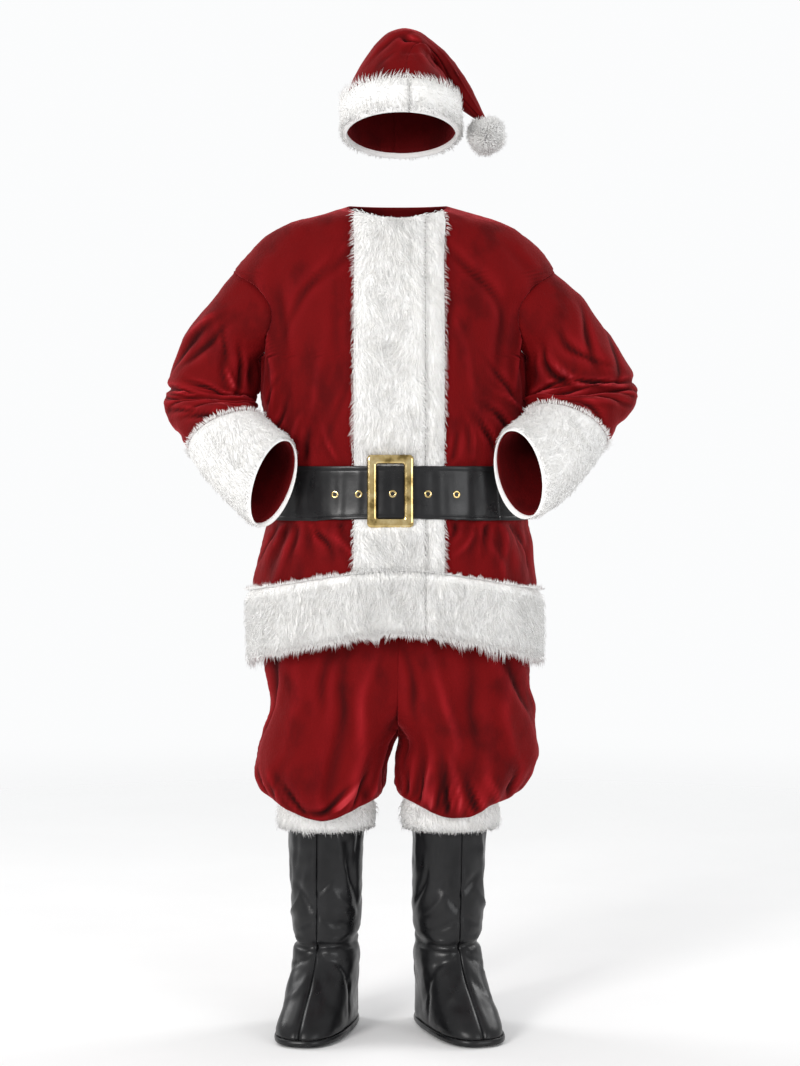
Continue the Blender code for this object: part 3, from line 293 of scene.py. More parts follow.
# Hat sections: left edge, right edge, middle and half depth, and the tip back in degrees
# Columns: left x, left z, right x, right z, middle y, half depth, tip
HAT = thousandths(0, 5, (
    (-95, 1662, 107, 1662, 8, 112, -17),
    (-95, 1700, 108, 1700, 16, 111, -17),
    (-94, 1735, 104, 1733, 22, 108, -15),
    (-83, 1770, 90, 1764, 26, 99, -11),
    (-62, 1803, 78, 1786, 28, 86, -6),
    (-40, 1832, 70, 1797, 29, 74, 0),
    (-16, 1855, 67, 1802, 29, 64, 0),
    (15, 1863, 68.5, 1803.5, 29, 56, 0),
    (46, 1852, 66, 1801, 36, 45, 0),
    (83, 1826, 70, 1791, 48, 36, 0),
    (113, 1793, 78, 1766, 59, 30, 0),
    (138, 1753, 93, 1737, 64, 27, 0),
    (154, 1720, 123, 1712, 54, 20, 0),
    (166.2, 1695, 150.5, 1691.2, 38, 9, 0),
))
HAT_START = 0.020
HAT_BAND_TOP = 0.145
HAT_SEAM = 8
HAT_RADIUS = 0.10
HAT_LENGTH = 0.36
HAT_FOLDS = thousandths(1, 4, (
    (0, 360, 30, 14, -4, 0),
    (30, 330, 40, 13, 4, -24),
    (52, 310, 45, 12, -5, -24),
    (-40, 400, 45, 13, -5, 22),
    (180, 380, 50, 15, -7, 0),
))
POMPOM_MIDDLE = (0.165, 0.036, 1.6662)
POMPOM_CORE = 0.0270
POMPOM_REACH = 0.0375
POMPOM_TIE = (-0.25, 0.05, 0.967)

# Belt, buckle and eyelets
BELT_THICKNESS = 0.0022
BELT_CLEAR = 0.0007
BELT_LAP_END = 57
BELT_RAMP = (332, 350)
BELT_BAND_RAMP = (50, 30)
BUCKLE_SIZE = (0.0840, 0.1310)
BUCKLE_WINDOW = (0.0490, 0.0980)
BUCKLE_THICKNESS = 0.0050
BUCKLE_ACROSS = -0.0135
BUCKLE_CORNER = 0.0080
WINDOW_CORNER = 0.0040
EYELET_PLACES = (-0.112, -0.0695, -0.0095, 0.053, 0.103)
EYELET_ROW = 0.997
EYELET_RADIUS = 0.0052
EYELET_WIRE = 0.0013

# Satin facing that hangs just below the hem at the front left
FACING_LOW = 0.677
FACING_TOP = 0.755


def column(columns, table, name):
    return np.array([row[columns.index(name)] for row in table], float)


def paired(u, v):
    return np.broadcast_arrays(np.asarray(u, float), np.asarray(v, float))


def eased(value, low, high):
    """0 up to low and 1 from high on, with a smooth rise between them."""
    share = np.clip((value - low) / (high - low), 0, 1)
    return share * share * (3 - 2 * share)


def nearest_turn(angle):
    """The same angle between minus and plus half a turn."""
    return (angle + math.pi) % WHOLE_TURN - math.pi


def all_round(v):
    """Side angles of a piece that goes all round a tube."""
    return np.full(len(v), -math.pi), np.full(len(v), math.pi)


def cubic(t, start, end, start_slope, end_slope):
    """The smooth curve between two values with a slope at each of them."""
    return (
        (2 * t ** 3 - 3 * t ** 2 + 1) * start
        + (t ** 3 - 2 * t ** 2 + t) * start_slope
        + (3 * t ** 2 - 2 * t ** 3) * end
        + (t ** 3 - t ** 2) * end_slope
    )


def smooth(stations, values, at):
    """Join the values at the stations with one smooth curve and read it at other places."""
    stations = np.asarray(stations, float)
    values = np.asarray(values, float)
    flat = values.reshape(len(values), -1)
    steps = np.diff(stations)[:, None]
    slopes = np.diff(flat, axis=0) / steps
    tangents = np.empty_like(flat)
    tangents[0] = slopes[0]
    tangents[-1] = slopes[-1]
    tangents[1:-1] = (slopes[:-1] * steps[1:] + slopes[1:] * steps[:-1]) / (steps[1:] + steps[:-1])
    at = np.asarray(at, float)
    place = np.clip(at.ravel(), stations[0], stations[-1])
    first = np.clip(np.searchsorted(stations, place, side="right") - 1, 0, len(stations) - 2)
    step = steps[first]
    t = (place - stations[first])[:, None] / step
    result = cubic(
        t, flat[first], flat[first + 1], step * tangents[first], step * tangents[first + 1]
    )
    return result.reshape(at.shape + values.shape[1:])


def fold_depth(u, v, folds, radius, length):
    """Height of all the folds at a place; a trough is below zero."""
    total = np.zeros(np.broadcast(u, v).shape)
    for around, along, half_length, half_width, depth, lean, *bend in folds:
        across_cloth = nearest_turn(u - math.radians(around)) * radius
        along_cloth = (v - along) * length
        lean_cos = math.cos(math.radians(lean))
        lean_sin = math.sin(math.radians(lean))
        run = along_cloth * lean_cos + across_cloth * lean_sin
        side = across_cloth * lean_cos - along_cloth * lean_sin
        power = 2.0
        if bend:
            power = CREASE_POWER
            wander = np.sin(WANDER_RATE * run / half_length + around)
            side = side + bend[0] * run ** 2 + WANDER * half_width * wander
        near = np.abs(side / half_width) ** power
        total = total + depth * np.exp(-(run / half_length) ** 2 - near)
    return total


class Cloth:
    """A smooth surface: u goes round it in radians, v goes along it between two ends."""

    def __init__(self, place, ends, folds=(), radius=1.0, length=1.0, fade=None, creases=(),
                 calm=None):
        self.place = place
        self.ends = ends
        self.folds = folds
        self.radius = radius
        self.length = length
        self.fade_range = fade
        self.creases = creases
        self.calm = calm
        self.side = 1.0
        u = np.linspace(-math.pi, math.pi, 24, endpoint=False)
        v = np.full_like(u, (ends[0] + ends[1]) / 2)
        points = place(u, v)
        outward = np.einsum("ij,ij->i", self.slope(place, u, v), points - points.mean(axis=0))
        if outward.mean() < 0:
            self.side = -1.0

    def slope(self, place, u, v):
        """Unit normals from small steps along the surface."""
        step = SHORT_STEP * (self.ends[1] - self.ends[0])
        low = np.clip(v - step, *self.ends)
        high = np.clip(v + step, *self.ends)
        around = place(u + SHORT_STEP, v) - place(u - SHORT_STEP, v)
        normal = np.cross(around, place(u, high) - place(u, low))
        return self.side * normal / np.linalg.norm(normal, axis=-1, keepdims=True)

    def fade(self, v):
        """Share of the folds' depth that is left near the start of the cloth."""
        if self.fade_range is None:
            return np.ones_like(v)
        return eased(v, *self.fade_range)

    def depth(self, u, v):
        """Height of all folds and creases at a place."""
        total = fold_depth(u, v, self.folds, self.radius, self.length)
        finer = CREASE_GAIN * fold_depth(u, v, self.creases, self.radius, self.length)
        if self.calm is not None:
            finer = finer * self.calm(u, v)
        return (total + finer) * self.fade(v)

    def fold_light_level(self, u, v):
        """How far a place stands out of its surroundings: -1 deep in a fold, 1 on a ridge; the
        plush colour paints shade and highlight from it.
        """
        across = CAVITY_REACH / self.radius
        along = CAVITY_REACH / self.length
        around = self.depth(u + across, v) + self.depth(u - across, v)
        around = around + self.depth(u, v + along) + self.depth(u, v - along)
        return np.clip((self.depth(u, v) - around / 4) / CAVITY_FULL, -1, 1)

    def folded(self, u, v):
        base = self.place(u, v)
        if not (self.folds or self.creases):
            return base
        return base + self.slope(self.place, u, v) * self.depth(u, v)[..., None]

    def points(self, u, v, offset=0.0):
        """Points on the folded surface, moved out by an offset."""
        u, v = paired(u, v)
        offset = np.broadcast_to(np.asarray(offset, float), u.shape)
        return self.folded(u, v) + self.slope(self.folded, u, v) * offset[..., None]


def section(angle, left, right, front, back, power=ROUNDNESS):
    """Distance from the middle to a rounded section at an angle from the front."""
    width = np.where(np.sin(angle) > 0, right, left)
    depth = np.where(np.cos(angle) > 0, front, back)
    across = np.abs(np.sin(angle) / width) ** power
    along = np.abs(np.cos(angle) / depth) ** power
    return (across + along) ** (-1 / power)


def torso_place(u, v):
    u, v = paired(u, v)
    heights = column(TORSO_COLUMNS, TORSO, "height")
    left, right, front, back, rise = (
        smooth(heights, column(TORSO_COLUMNS, TORSO, name), v) for name in TORSO_COLUMNS[1:]
    )
    reach = section(u, left, right, front, back)
    lifted = v + rise * ((1 + np.cos(u)) / 2) ** 3
    return np.stack((reach * np.sin(u), -reach * np.cos(u), lifted), axis=-1)


def angle_across(distance, heights):
    """Angle from the front at which the jacket reaches a distance across, at each height."""
    rows = column(TORSO_COLUMNS, TORSO, "height")
    front = smooth(rows, column(TORSO_COLUMNS, TORSO, "front"), heights)
    angle = np.arcsin(np.clip(distance / front, -0.9, 0.9))
    for _ in range(8):
        point = torso_place(angle, heights)
        reach = np.hypot(point[..., 0], point[..., 1])
        angle = np.arcsin(np.clip(distance / reach, -0.9, 0.9))
    return angle


def side_angle(heights, armhole, gap):
    """Angle of the side seam, armhole and shoulder seam, less half the seam's gap."""
    share = np.clip((heights - ARMPIT) / (SHOULDER - ARMPIT), 0, 1)
    angle = QUARTER - math.radians(armhole) * np.sin(math.pi * share) ** 0.55
    rows = column(TORSO_COLUMNS, TORSO, "height")
    reach = smooth(rows, column(TORSO_COLUMNS, TORSO, "right"), heights)
    return angle - gap / reach


def ring_by_edges(row, hand, angle):
    """A section between an outer and an inner edge, seen from the front, with its own depth."""
    outer_x, outer_z, inner_x, inner_z, middle_y, half_depth, turn = row
    middle = np.array(((outer_x + inner_x) / 2, middle_y, (outer_z + inner_z) / 2))
    half = np.array(((outer_x - inner_x) / 2, 0.0, (outer_z - inner_z) / 2))
    span = half / np.linalg.norm(half)
    onward = np.array((span[2], 0.0, -span[0])) * hand
    forward = np.array((0.0, -1.0, 0.0))
    lean = math.radians(turn)
    depth = (forward * math.cos(lean) - onward * math.sin(lean)) * half_depth
    return middle + half * -np.sin(angle)[..., None] + depth * np.cos(angle)[..., None]


def tube_through(rings):
    """A surface through ring functions, each giving points for an array of angles."""
    stations = np.linspace(0, 1, len(rings))

    def place(u, v):
        u, v = paired(u, v)
        layers = np.stack([ring(u.ravel()) for ring in rings])
        first = np.clip((v.ravel() * (len(rings) - 1)).astype(int), 0, len(rings) - 2)
        result = np.empty((u.size, 3))
        for index in np.unique(first):
            chosen = first == index
            low = max(index - 1, 0)
            high = min(index + 3, len(rings))
            near = layers[low:high, chosen]
            tangents = np.gradient(near, axis=0)
            here = index - low
            t = ((v.ravel()[chosen] - stations[index]) * (len(rings) - 1))[:, None]
            result[chosen] = cubic(
                t, near[here], near[here + 1], tangents[here], tangents[here + 1]
            )
        return result.reshape(u.shape + (3,))

    return place


def sleeve_cloth(torso, table, side):
    """A sleeve from the armhole on one side of the jacket to its cuff; side is -1 or 1."""

    def section_at(row):
        return lambda angle: ring_by_edges(row, side, angle)

    rings = [section_at(row) for row in table]

    heights = np.linspace(ARMPIT, SHOULDER, ARMHOLE_STEPS)
    front = torso.points(side * side_angle(heights, ARMHOLE_FRONT, 0.0), heights)
    back = torso.points(side * (2 * QUARTER - side_angle(heights, ARMHOLE_BACK, 0.0)), heights)

    def armhole(angle):
        rise = ARMPIT + (SHOULDER - ARMPIT) * (1 - np.sin(angle)) / 2
        facing = np.cos(angle) > 0
        edge = np.stack([
            np.where(facing, np.interp(rise, heights, front[:, axis]),
                     np.interp(rise, heights, back[:, axis]))
            for axis in range(3)
        ], axis=-1)
        onward = rings[0](angle) - edge
        onward = onward / np.linalg.norm(onward, axis=-1, keepdims=True)
        return edge - onward * ARMHOLE_TUCK

    place = tube_through([armhole] + rings)
    return Cloth(place, (0.0, 1.0), SLEEVE_FOLDS, SLEEVE_RADIUS, SLEEVE_LENGTH, SLEEVE_FADE,
                 (SLEEVE_LEFT_CREASES if side < 0 else SLEEVE_RIGHT_CREASES) + SLEEVE_BACK_CREASES)


def leg_cloth(table, folds, creases, side):
    """A trouser leg and its half of the seat; v counts the table's rows."""
    rows = np.arange(len(table))

    def place(u, v):
        u, v = paired(u, v)
        height, middle, inner, outer, front, back, sag = (
            smooth(rows, column(LEG_COLUMNS, table, name), v) for name in LEG_COLUMNS
        )
        half_depth = (back - front) / 2
        if side < 0:
            reach = section(u, outer, inner, half_depth, half_depth)
        else:
            reach = section(u, inner, outer, half_depth, half_depth)
        across = side * middle + reach * np.sin(u)
        along = (front + back) / 2 - reach * np.cos(u)
        lowered = height - sag * ((1 + np.cos(u)) / 2) ** SAG_PEAK
        return np.stack((across, along, lowered), axis=-1)

    last = len(table) - 1
    reach = LEG_LENGTH / last
    folds, creases = (
        tuple((row[0], row[1] * last) + row[2:] for row in rows) for rows in (folds, creases)
    )
    fade = tuple(share * last for share in LEG_FADE)
    return Cloth(place, (0.0, float(last)), folds, LEG_RADIUS, reach, fade, creases)


def middle_angle(leg, rows, side, at_back):
    """Angle at which a leg's section meets the suit's middle; a quarter turn below the crotch."""
    low = np.full(len(rows), 2 * QUARTER if at_back else 0.0)
    high = np.full(len(rows), QUARTER)
    for _ in range(40):
        angle = (low + high) / 2
        inside = leg.points(-side * angle, rows)[..., 0] * side > SEAM / 2
        low = np.where(inside, angle, low)
        high = np.where(inside, high, angle)
    return np.where(rows <= LEG_CROTCH_ROW, QUARTER, (low + high) / 2)


def boot_cloth(place_row):
    """One boot cover, turned and placed at its ankle; v is the height."""
    middle_x, middle_y, turn, lean = place_row
    heights = column(BOOT_COLUMNS, BOOT, "height")
    turn_cos = math.cos(math.radians(turn))
    turn_sin = math.sin(math.radians(turn))

    def place(u, v):
        u, v = paired(u, v)
        side, toe, heel, forward, power = (
            smooth(heights, column(BOOT_COLUMNS, BOOT, name), v) for name in BOOT_COLUMNS[1:]
        )
        reach = section(u, side, side, toe - forward, heel + forward, power)
        across = reach * np.sin(u)
        along = -reach * np.cos(u) - forward
        shift = lean * np.clip((v - BOOT_ANKLE) / (heights[-1] - BOOT_ANKLE), 0, 1)
        x = middle_x + shift + across * turn_cos - along * turn_sin
        y = middle_y + across * turn_sin + along * turn_cos
        return np.stack((x, y, v), axis=-1)

    return Cloth(place, (heights[0], heights[-1]), BOOT_FOLDS, BOOT_RADIUS, 1.0, None, BOOT_CREASES)


def hat_cloth():
    def section_at(row):
        return lambda angle: ring_by_edges(row, 1, angle)

    place = tube_through([section_at(row) for row in HAT])
    return Cloth(place, (0.0, 1.0), HAT_FOLDS, HAT_RADIUS, HAT_LENGTH, (0.16, 0.30), HAT_CREASES)


def seam_angle(cloth, angle, rows, gap=SEAM_FACETED):
    """Half of a seam's gap as an angle, at each row along the seam."""
    u = np.full(len(rows), float(angle))
    run = cloth.place(u + SHORT_STEP, rows) - cloth.place(u - SHORT_STEP, rows)
    return gap * SHORT_STEP / np.linalg.norm(run, axis=1)


def mirrored(rows):
    """The same creases on the other side."""
    return tuple((-row[0], *row[1:5], -row[5], *row[6:]) for row in rows)


# Finer folds of the dressed cloth, with the same columns as the solids' folds and a bend
TORSO_CREASES = thousandths(1, 4, (
    (-90, 1205, 70, 34, 4.5, 0, 0),
    (-78, 1310, 85, 10, -10, 6, 0.6),
    (-70, 1235, 75, 9, 6, -6, 0.8),
    (-76, 1165, 45, 7, -6, 48, 1.5),
    (-66, 1128, 42, 6, -5, 36, 2),
    (-58, 1100, 36, 6, 4, 24, -2),
    (-50, 1085, 32, 5, -4, 14, 1),
    (-37, 1092, 34, 6, 3, -16, 2),
    (-44, 1200, 70, 12, 3, 10, 1),
    (-36, 1300, 80, 13, -3, -12, 1),
    (-30, 1170, 60, 9, -2, 22, 2),
    (-55, 1370, 60, 10, -4, 20, 1),
    (32, 1090, 36, 6, -4, 12, 2),
    (41, 1098, 38, 6, 4, -10, 2),
    (50, 1105, 42, 7, -6, -26, 2.5),
    (60, 1130, 48, 7, -7, -48, 2),
    (68, 1165, 46, 7, 5, -56, 2),
    (62, 1200, 50, 8, -5, -40, 1),
    (90, 1215, 65, 34, 2.5, 0, 0),
    (78, 1305, 85, 10, -10, -6, 0.6),
    (72, 1255, 70, 9, 5, 8, 0.8),
    (40, 1240, 70, 12, 3, -12, 1),
    (34, 1330, 70, 12, -3, 12, 1),
    (56, 1370, 60, 10, -4, -22, 1),
    (-72, 905, 44, 7, -7, 26, 2),
    (-63, 925, 34, 6, 5, 16, 1),
    (-53, 905, 42, 7, -6, -8, 2),
    (-45, 925, 36, 6, 4, -22, 1),
    (-38, 900, 44, 7, -5, -34, 2),
    (-30, 932, 28, 5, -3, -10, 1),
    (-26, 870, 40, 7, 3, -30, 1),
    (-58, 850, 50, 10, 4, 12, 1),
    (30, 925, 32, 5, -4, 14, 1),
    (37, 905, 42, 7, 4, 26, 2),
    (46, 918, 40, 6, -6, 12, 1),
    (54, 900, 44, 7, 5, 2, 1),
    (62, 925, 34, 6, -5, -16, 1),
    (70, 900, 46, 8, -7, -26, 2),
    (50, 850, 50, 10, 4, -12, 1),
    (96, 1110, 45, 7, -6, 10, 1),
    (108, 1095, 36, 6, 4, -12, 1),
    (122, 1120, 50, 8, -6, 20, 1),
    (151, 1100, 40, 7, -5, 12, 1),
    (164, 1130, 55, 8, 4, -8, 1),
    (-96, 1105, 45, 7, -6, -10, 1),
    (-110, 1125, 50, 8, 5, 14, 1),
    (-126, 1095, 38, 6, -5, -20, 1),
    (-150, 1115, 48, 8, -5, -10, 1),
    (-166, 1090, 36, 6, 4, 8, 1),
    (128, 1300, 80, 12, -5, 30, 1.5),
    (-130, 1290, 80, 12, -5, -30, 1.5),
    (150, 1390, 60, 10, -4, 62, 1),
    (-152, 1395, 60, 10, -4, -62, 1),
    (104, 910, 44, 7, -6, 12, 1),
    (132, 925, 36, 6, 5, 6, 1),
    (156, 905, 44, 7, -6, 8, 1),
    (-178, 925, 36, 6, 4, -4, 1),
    (-142, 905, 44, 7, -6, -8, 1),
    (-114, 920, 40, 7, 5, -10, 1),
    (-98, 900, 46, 7, -6, -14, 1),
    (90, 1205, 75, 24, 5.5, 0, 0),
    (88, 1266, 22, 20, 5, 0, 0),
    (-90, 1256, 20, 20, 4.5, 0, 0),
))
SLEEVE_LEFT_CREASES = thousandths(1, 4, (
    (-52, 400, 50, 6.5, -11, 80, 3),
    (-34, 428, 40, 6, 6, 76, 3),
    (-62, 470, 52, 6.5, -10, 84, -3),
    (-26, 500, 44, 6.5, -9, 96, 3),
    (-2, 372, 34, 6, -8, 62, 3),
    (30, 420, 38, 7, -11, 84, -3),
    (44, 452, 30, 6, 6, 88, 2),
    (52, 490, 40, 7, -10, 96, 2),
    (12, 548, 44, 8, -8, 104, 2),
    (-44, 570, 48, 8, -7, 70, 3),
    (38, 600, 40, 7, -8, 70, 2),
    (-12, 650, 44, 8, -7, 62, 2),
    (38, 250, 60, 8, -10, 10, 2),
    (22, 300, 50, 7, 6, 16, 2),
    (6, 200, 50, 9, -7, 24, 3),
    (-26, 190, 50, 9, -7, -22, 2),
    (-50, 150, 44, 9, 5, -30, 2),
    (-60, 250, 60, 8, -6, -34, 2),
))
SLEEVE_RIGHT_CREASES = thousandths(1, 4, (
    (-30, 385, 60, 6.5, -11, 104, -3),
    (-20, 412, 40, 6, 6, 106, -3),
    (-12, 470, 60, 6.5, -10, 96, 2.5),
    (-52, 455, 50, 6.5, -9, 90, 3),
    (24, 440, 36, 7, -12, 74, -3),
    (38, 405, 30, 6, 6, 70, 2),
    (48, 365, 40, 7.5, -12, 50, 2),
    (54, 455, 36, 7, -10, 92, 2),
    (20, 530, 46, 8, -9, 76, 2),
    (-36, 550, 50, 8, -7, 108, -3),
    (42, 600, 42, 7, -8, 104, 2),
    (-8, 640, 46, 8, -7, 112, 2),
    (30, 240, 64, 8, -9, -8, 2),
    (14, 300, 50, 7, 6, -14, 2),
    (-8, 200, 54, 9, -7, -22, 3),
    (-34, 210, 50, 9, -7, 20, 2),
    (-56, 300, 60, 8, -6, 34, 2),
))
SLEEVE_BACK_CREASES = thousandths(1, 4, (
    (90, 200, 110, 35, 3, 0, 0),
    (104, 480, 44, 7, -9, 92, 2),
    (128, 400, 46, 7, -8, 74, 3),
    (140, 460, 40, 6, 5, 84, 3),
    (166, 520, 46, 7, -8, 96, 2),
    (-160, 440, 46, 7, -7, 80, 3),
    (-128, 480, 44, 7, -7, 88, 3),
    (-100, 390, 40, 7, -6, 84, 2),
    (150, 220, 60, 9, -7, 14, 2),
    (-150, 250, 60, 9, -6, -12, 2),
    (-110, 620, 46, 8, -6, 70, 2),
    (110, 640, 40, 7, -6, 100, 2),
    (170, 640, 44, 8, 5, 84, 2),
))
LEG_BACK_CREASES = thousandths(1, 4, (
    (-100, 240, 36, 7, -7, 4, 1),
    (-122, 245, 36, 8, 6, 2, 1),
    (-152, 240, 38, 8, -8, 0, 1),
    (-172, 245, 36, 8, 6, 0, 1),
    (158, 240, 38, 8, -8, 2, 1),
    (120, 245, 36, 8, -7, 4, 1),
    (100, 240, 34, 7, 6, 6, 1),
    (-126, 480, 110, 18, -9, 3, 0.4),
    (-162, 500, 110, 18, 7, 2, 0.4),
    (156, 480, 110, 18, -9, -3, 0.4),
    (126, 620, 60, 10, -7, -16, 1),
))
LEG_LEFT_CREASES = thousandths(1, 4, (
    (-7, 570, 85, 18, -11, -24, 0),
    (13, 540, 80, 14, 6, -24, 0),
    (-46, 600, 70, 18, 5, -20, 0.2),
    (42, 540, 60, 14, -5, -18, 0.2),
    (-30, 670, 45, 9, -4, -22, 0.5),
    (-70, 640, 60, 9, -10, 12, 1),
    (-84, 520, 70, 10, 6, 12, 1),
    (4, 215, 30, 6, -10, 74, 4),
    (18, 235, 26, 5, 6, 66, 4),
    (-20, 230, 34, 7, -6, -38, 2),
    (-36, 235, 34, 7, 5, -30, 2),
    (-58, 235, 36, 7, -7, -20, 2),
    (34, 235, 32, 7, -7, 26, 2),
    (54, 245, 34, 7, 5, 16, 2),
    (74, 240, 34, 7, -7, 8, 2),
    (70, 420, 90, 14, -8, 4, 0.5),
)) + LEG_BACK_CREASES
LEG_RIGHT_CREASES = thousandths(1, 4, (
    (21, 560, 90, 18, -10, 22, 0),
    (0, 560, 85, 14, 6, 22, 0),
    (46, 560, 70, 14, 5, 18, 0),
    (64, 640, 60, 9, -9, -14, 1),
    (80, 560, 60, 10, 7, -12, 1),
    (-60, 500, 90, 14, -8, -4, 0.5),
    (-16, 640, 55, 9, -4, 26, 0.5),
    (-38, 225, 36, 5.5, -12, 12, 2),
    (-25, 220, 30, 5.5, 8, 4, 1),
    (-13, 225, 36, 5.5, -12, -6, 2),
    (-2, 235, 36, 6.5, 6, -16, 2),
    (12, 225, 34, 6.5, -7, -28, 2),
    (30, 230, 36, 7, 5, -30, 2),
    (52, 235, 36, 7, -7, -22, 2),
    (72, 245, 34, 7, 5, -12, 2),
    (-56, 235, 34, 7, -7, 12, 2),
    (-76, 245, 34, 7, 5, 6, 2),
)) + mirrored(LEG_BACK_CREASES)
BOOT_CREASES = thousandths(1, 4, (
    (0, 160, 60, 3.5, -4.5, 90, 0),
    (30, 172, 30, 5, 3, 80, 4),
    (-34, 170, 30, 5, 3, 100, -4),
    (-60, 159, 40, 4, -4.5, 84, 0),
    (62, 159, 40, 4, -4.5, 96, 0),
    (-20, 138, 34, 5, -3.5, 64, 5),
    (-36, 115, 36, 5.5, 3.5, 50, 5),
    (-54, 96, 34, 5, -3.5, 40, 5),
    (20, 140, 34, 5, -3.5, -60, -5),
    (38, 116, 34, 5.5, 3.5, -48, -5),
    (56, 96, 34, 5, -3.5, -36, -5),
    (-14, 90, 30, 5, 2.5, 30, 6),
    (16, 86, 30, 5, -2.5, -34, -6),
    (-72, 60, 30, 6, -3, 20, 3),
    (74, 60, 30, 6, -3, -20, -3),
    (-24, 196, 30, 5, -3, 66, 5),
    (26, 205, 32, 5, -3, -62, -5),
    (-52, 225, 34, 5.5, 3, 52, 4),
    (50, 235, 36, 5.5, 3, -50, -4),
    (-16, 250, 36, 6, -3, -44, 4),
    (12, 275, 36, 6, -2.8, 50, -4),
    (64, 285, 46, 6, -3.5, -24, 3),
    (-66, 270, 46, 6, -3.5, 24, 3),
    (40, 335, 50, 7, 2.8, -14, 2),
    (-38, 330, 50, 7, -2.5, 12, 2),
    (78, 360, 50, 7, -3, 8, 2),
    (-84, 350, 50, 7, 2.5, -8, 2),
    (110, 175, 34, 5, -4, 78, 3),
    (-110, 175, 34, 5, -4, -78, 3),
    (150, 195, 40, 5.5, 3, 70, 3),
    (-150, 195, 40, 5.5, 3, -70, 3),
    (176, 230, 40, 6, -3.5, 86, 3),
    (130, 270, 46, 6, -3, 40, 3),
    (-132, 275, 46, 6, -3, -40, 3),
    (160, 340, 50, 7, 2.5, 14, 2),
    (-158, 345, 50, 7, -2.5, -14, 2),
    (128, 115, 30, 6, -3, 30, 3),
    (-128, 115, 30, 6, -3, -30, 3),
))
HAT_CREASES = thousandths(1, 4, (
    (-14, 475, 27, 7.2, -14, 84, 1),
    (-50, 330, 45, 9, 3, 16, 1),
    (-24, 250, 30, 7, -2, 30, 2),
    (70, 300, 35, 7, -4, 24, 2),
    (150, 330, 50, 8, -5, 14, 2),
    (-150, 350, 50, 8, -5, -14, 2),
    (-100, 300, 50, 8, 4, 8, 2),
    (10, 700, 50, 6, -3, 6, 1),
    (-30, 780, 50, 6, 3, -6, 1),
))

# Flat cut of what shows of each sheet: width and length, all round on a tube
CUTS = {
    "front_left": (0.50, 0.85), "front_right": (0.36, 0.85), "back": (0.72, 0.85),
    "band_over": (0.131, 0.72), "band_under": (0.036, 0.72),
    "hem_left": (0.50, 0.13), "hem_right": (0.34, 0.13), "hem_back": (0.72, 0.13),
    "facing": (0.10, 0.078), "sleeve": (0.53, 0.50), "cuff": (0.47, 0.15),
    "strap": (1.66, 0.101), "trouser": (0.37, 0.60), "waistband": (0.98, 0.06),
    "knee_cuff": (0.55, 0.082), "boot": (0.30, 0.42), "binding": (0.66, 0.011),
    "crown": (0.33, 0.40), "hat_band": (0.66, 0.075),
}

# Creases: how they wander, how sharp and high they are, and how the plush's painted shade in folds
# and painted highlight on ridges follow them
WANDER = 0.35
WANDER_RATE = 2.3
CREASE_POWER = 1.6
CREASE_GAIN = 1.3
CAVITY_REACH = 0.010
CAVITY_FULL = 0.0060
# Fold value of the inner faces: a fixed painted shade on the plush's inside
INSIDE_PAINTED_SHADE = -0.25

# Grid steps of the dressed cloth, and its seams
CLOTH_STEP = 0.0066
FUR_STEP = 0.0065
FACING_STEP = 0.0025
WAISTBAND_STEP = 0.004
BOOT_STEP = 0.0048
BOOT_WIDTH = 0.235
BINDING_GRID = (180, 9)
SEAM_LAP = 0.0011
SEAM_DIP = 0.0016
SEAM_REACH = 0.0045
SEAM_CLEAR = 0.001
SEAM_PUCKER = 0.0005
PUCKER_REACH = 0.012
PUCKER_RATE = 520
UNDULATION = 0.0011
LAP_RISE = 0.060

# Fur: strands, the bed that they stand in, and the tufts at a band's rim
STRAND = 0.0195
STRAND_ROOT = 0.00086
STRAND_GAP = 0.0038
CLUMP = 4
BED = 0.66
FUR_END = 0.35
FUR_PRESS_REACH = 0.045
PRESS_LOW = 0.943
PRESS_HIGH = 1.059
RIM_GAP = 0.0030
RIM_ROWS = 4
RIM_DEPTH = 0.60
RIM_RISE = 0.0050
RIM_LONG = 0.015
RIM_SHORT = 0.0065
POMPOM_GRID = (40, 64)
POMPOM_STRANDS = 4200

# Strap, stitches, buckle and eyelets
BELT_MIDDLE = 1.001
BELT_HALF = 0.050
BELT_FREE = 0.016
STRAP_DROP = 0.006
STRAP_COLUMNS = 420
STRAP_RADIUS = 0.21
STRAP_ROWS = (
    0.0, 0.0006, 0.0014, 0.003, 0.006, 0.0073, 0.0085, 0.0097, 0.012, 0.018, 0.026, 0.036,
)
STITCH_INSET = 0.0085
STITCH_STEP = 0.0042
STITCH_LONG = 0.0027
THREAD = 0.00045
BUCKLE_STEPS = 10
BUCKLE_PROFILE = 15
EYELET_GRID = (40, 10)
HOLE_SIDES = 24

# Ripples of the strap: waves a radian, shift, skew and height
STRAP_RIPPLES = (
    (31.0, 0.4, 6.0, 0.00030), (47.0, 1.9, -9.0, 0.00024),
    (73.0, 4.1, 12.0, 0.00012), (19.0, 2.7, 0.0, 0.00022),
)

# Camera, floor and white room
CAMERA_FAR = 5.0
CAMERA_HEIGHT = 1.2
CAMERA_DOWN = 3.15
CAMERA_LENS = 90.6
CAMERA_SENSOR = 36.0
CAMERA_SHIFT = 0.0019
FLOOR_SOLID = 1.5
FLOOR_REACH = 4.5
FLOOR_SIDES = 64
FLOOR_DROP = 0.0005
WORLD_COLOR = (0.95, 0.955, 0.96)
WORLD_STRENGTH = 0.66
WORLD_SEEN = 1.02

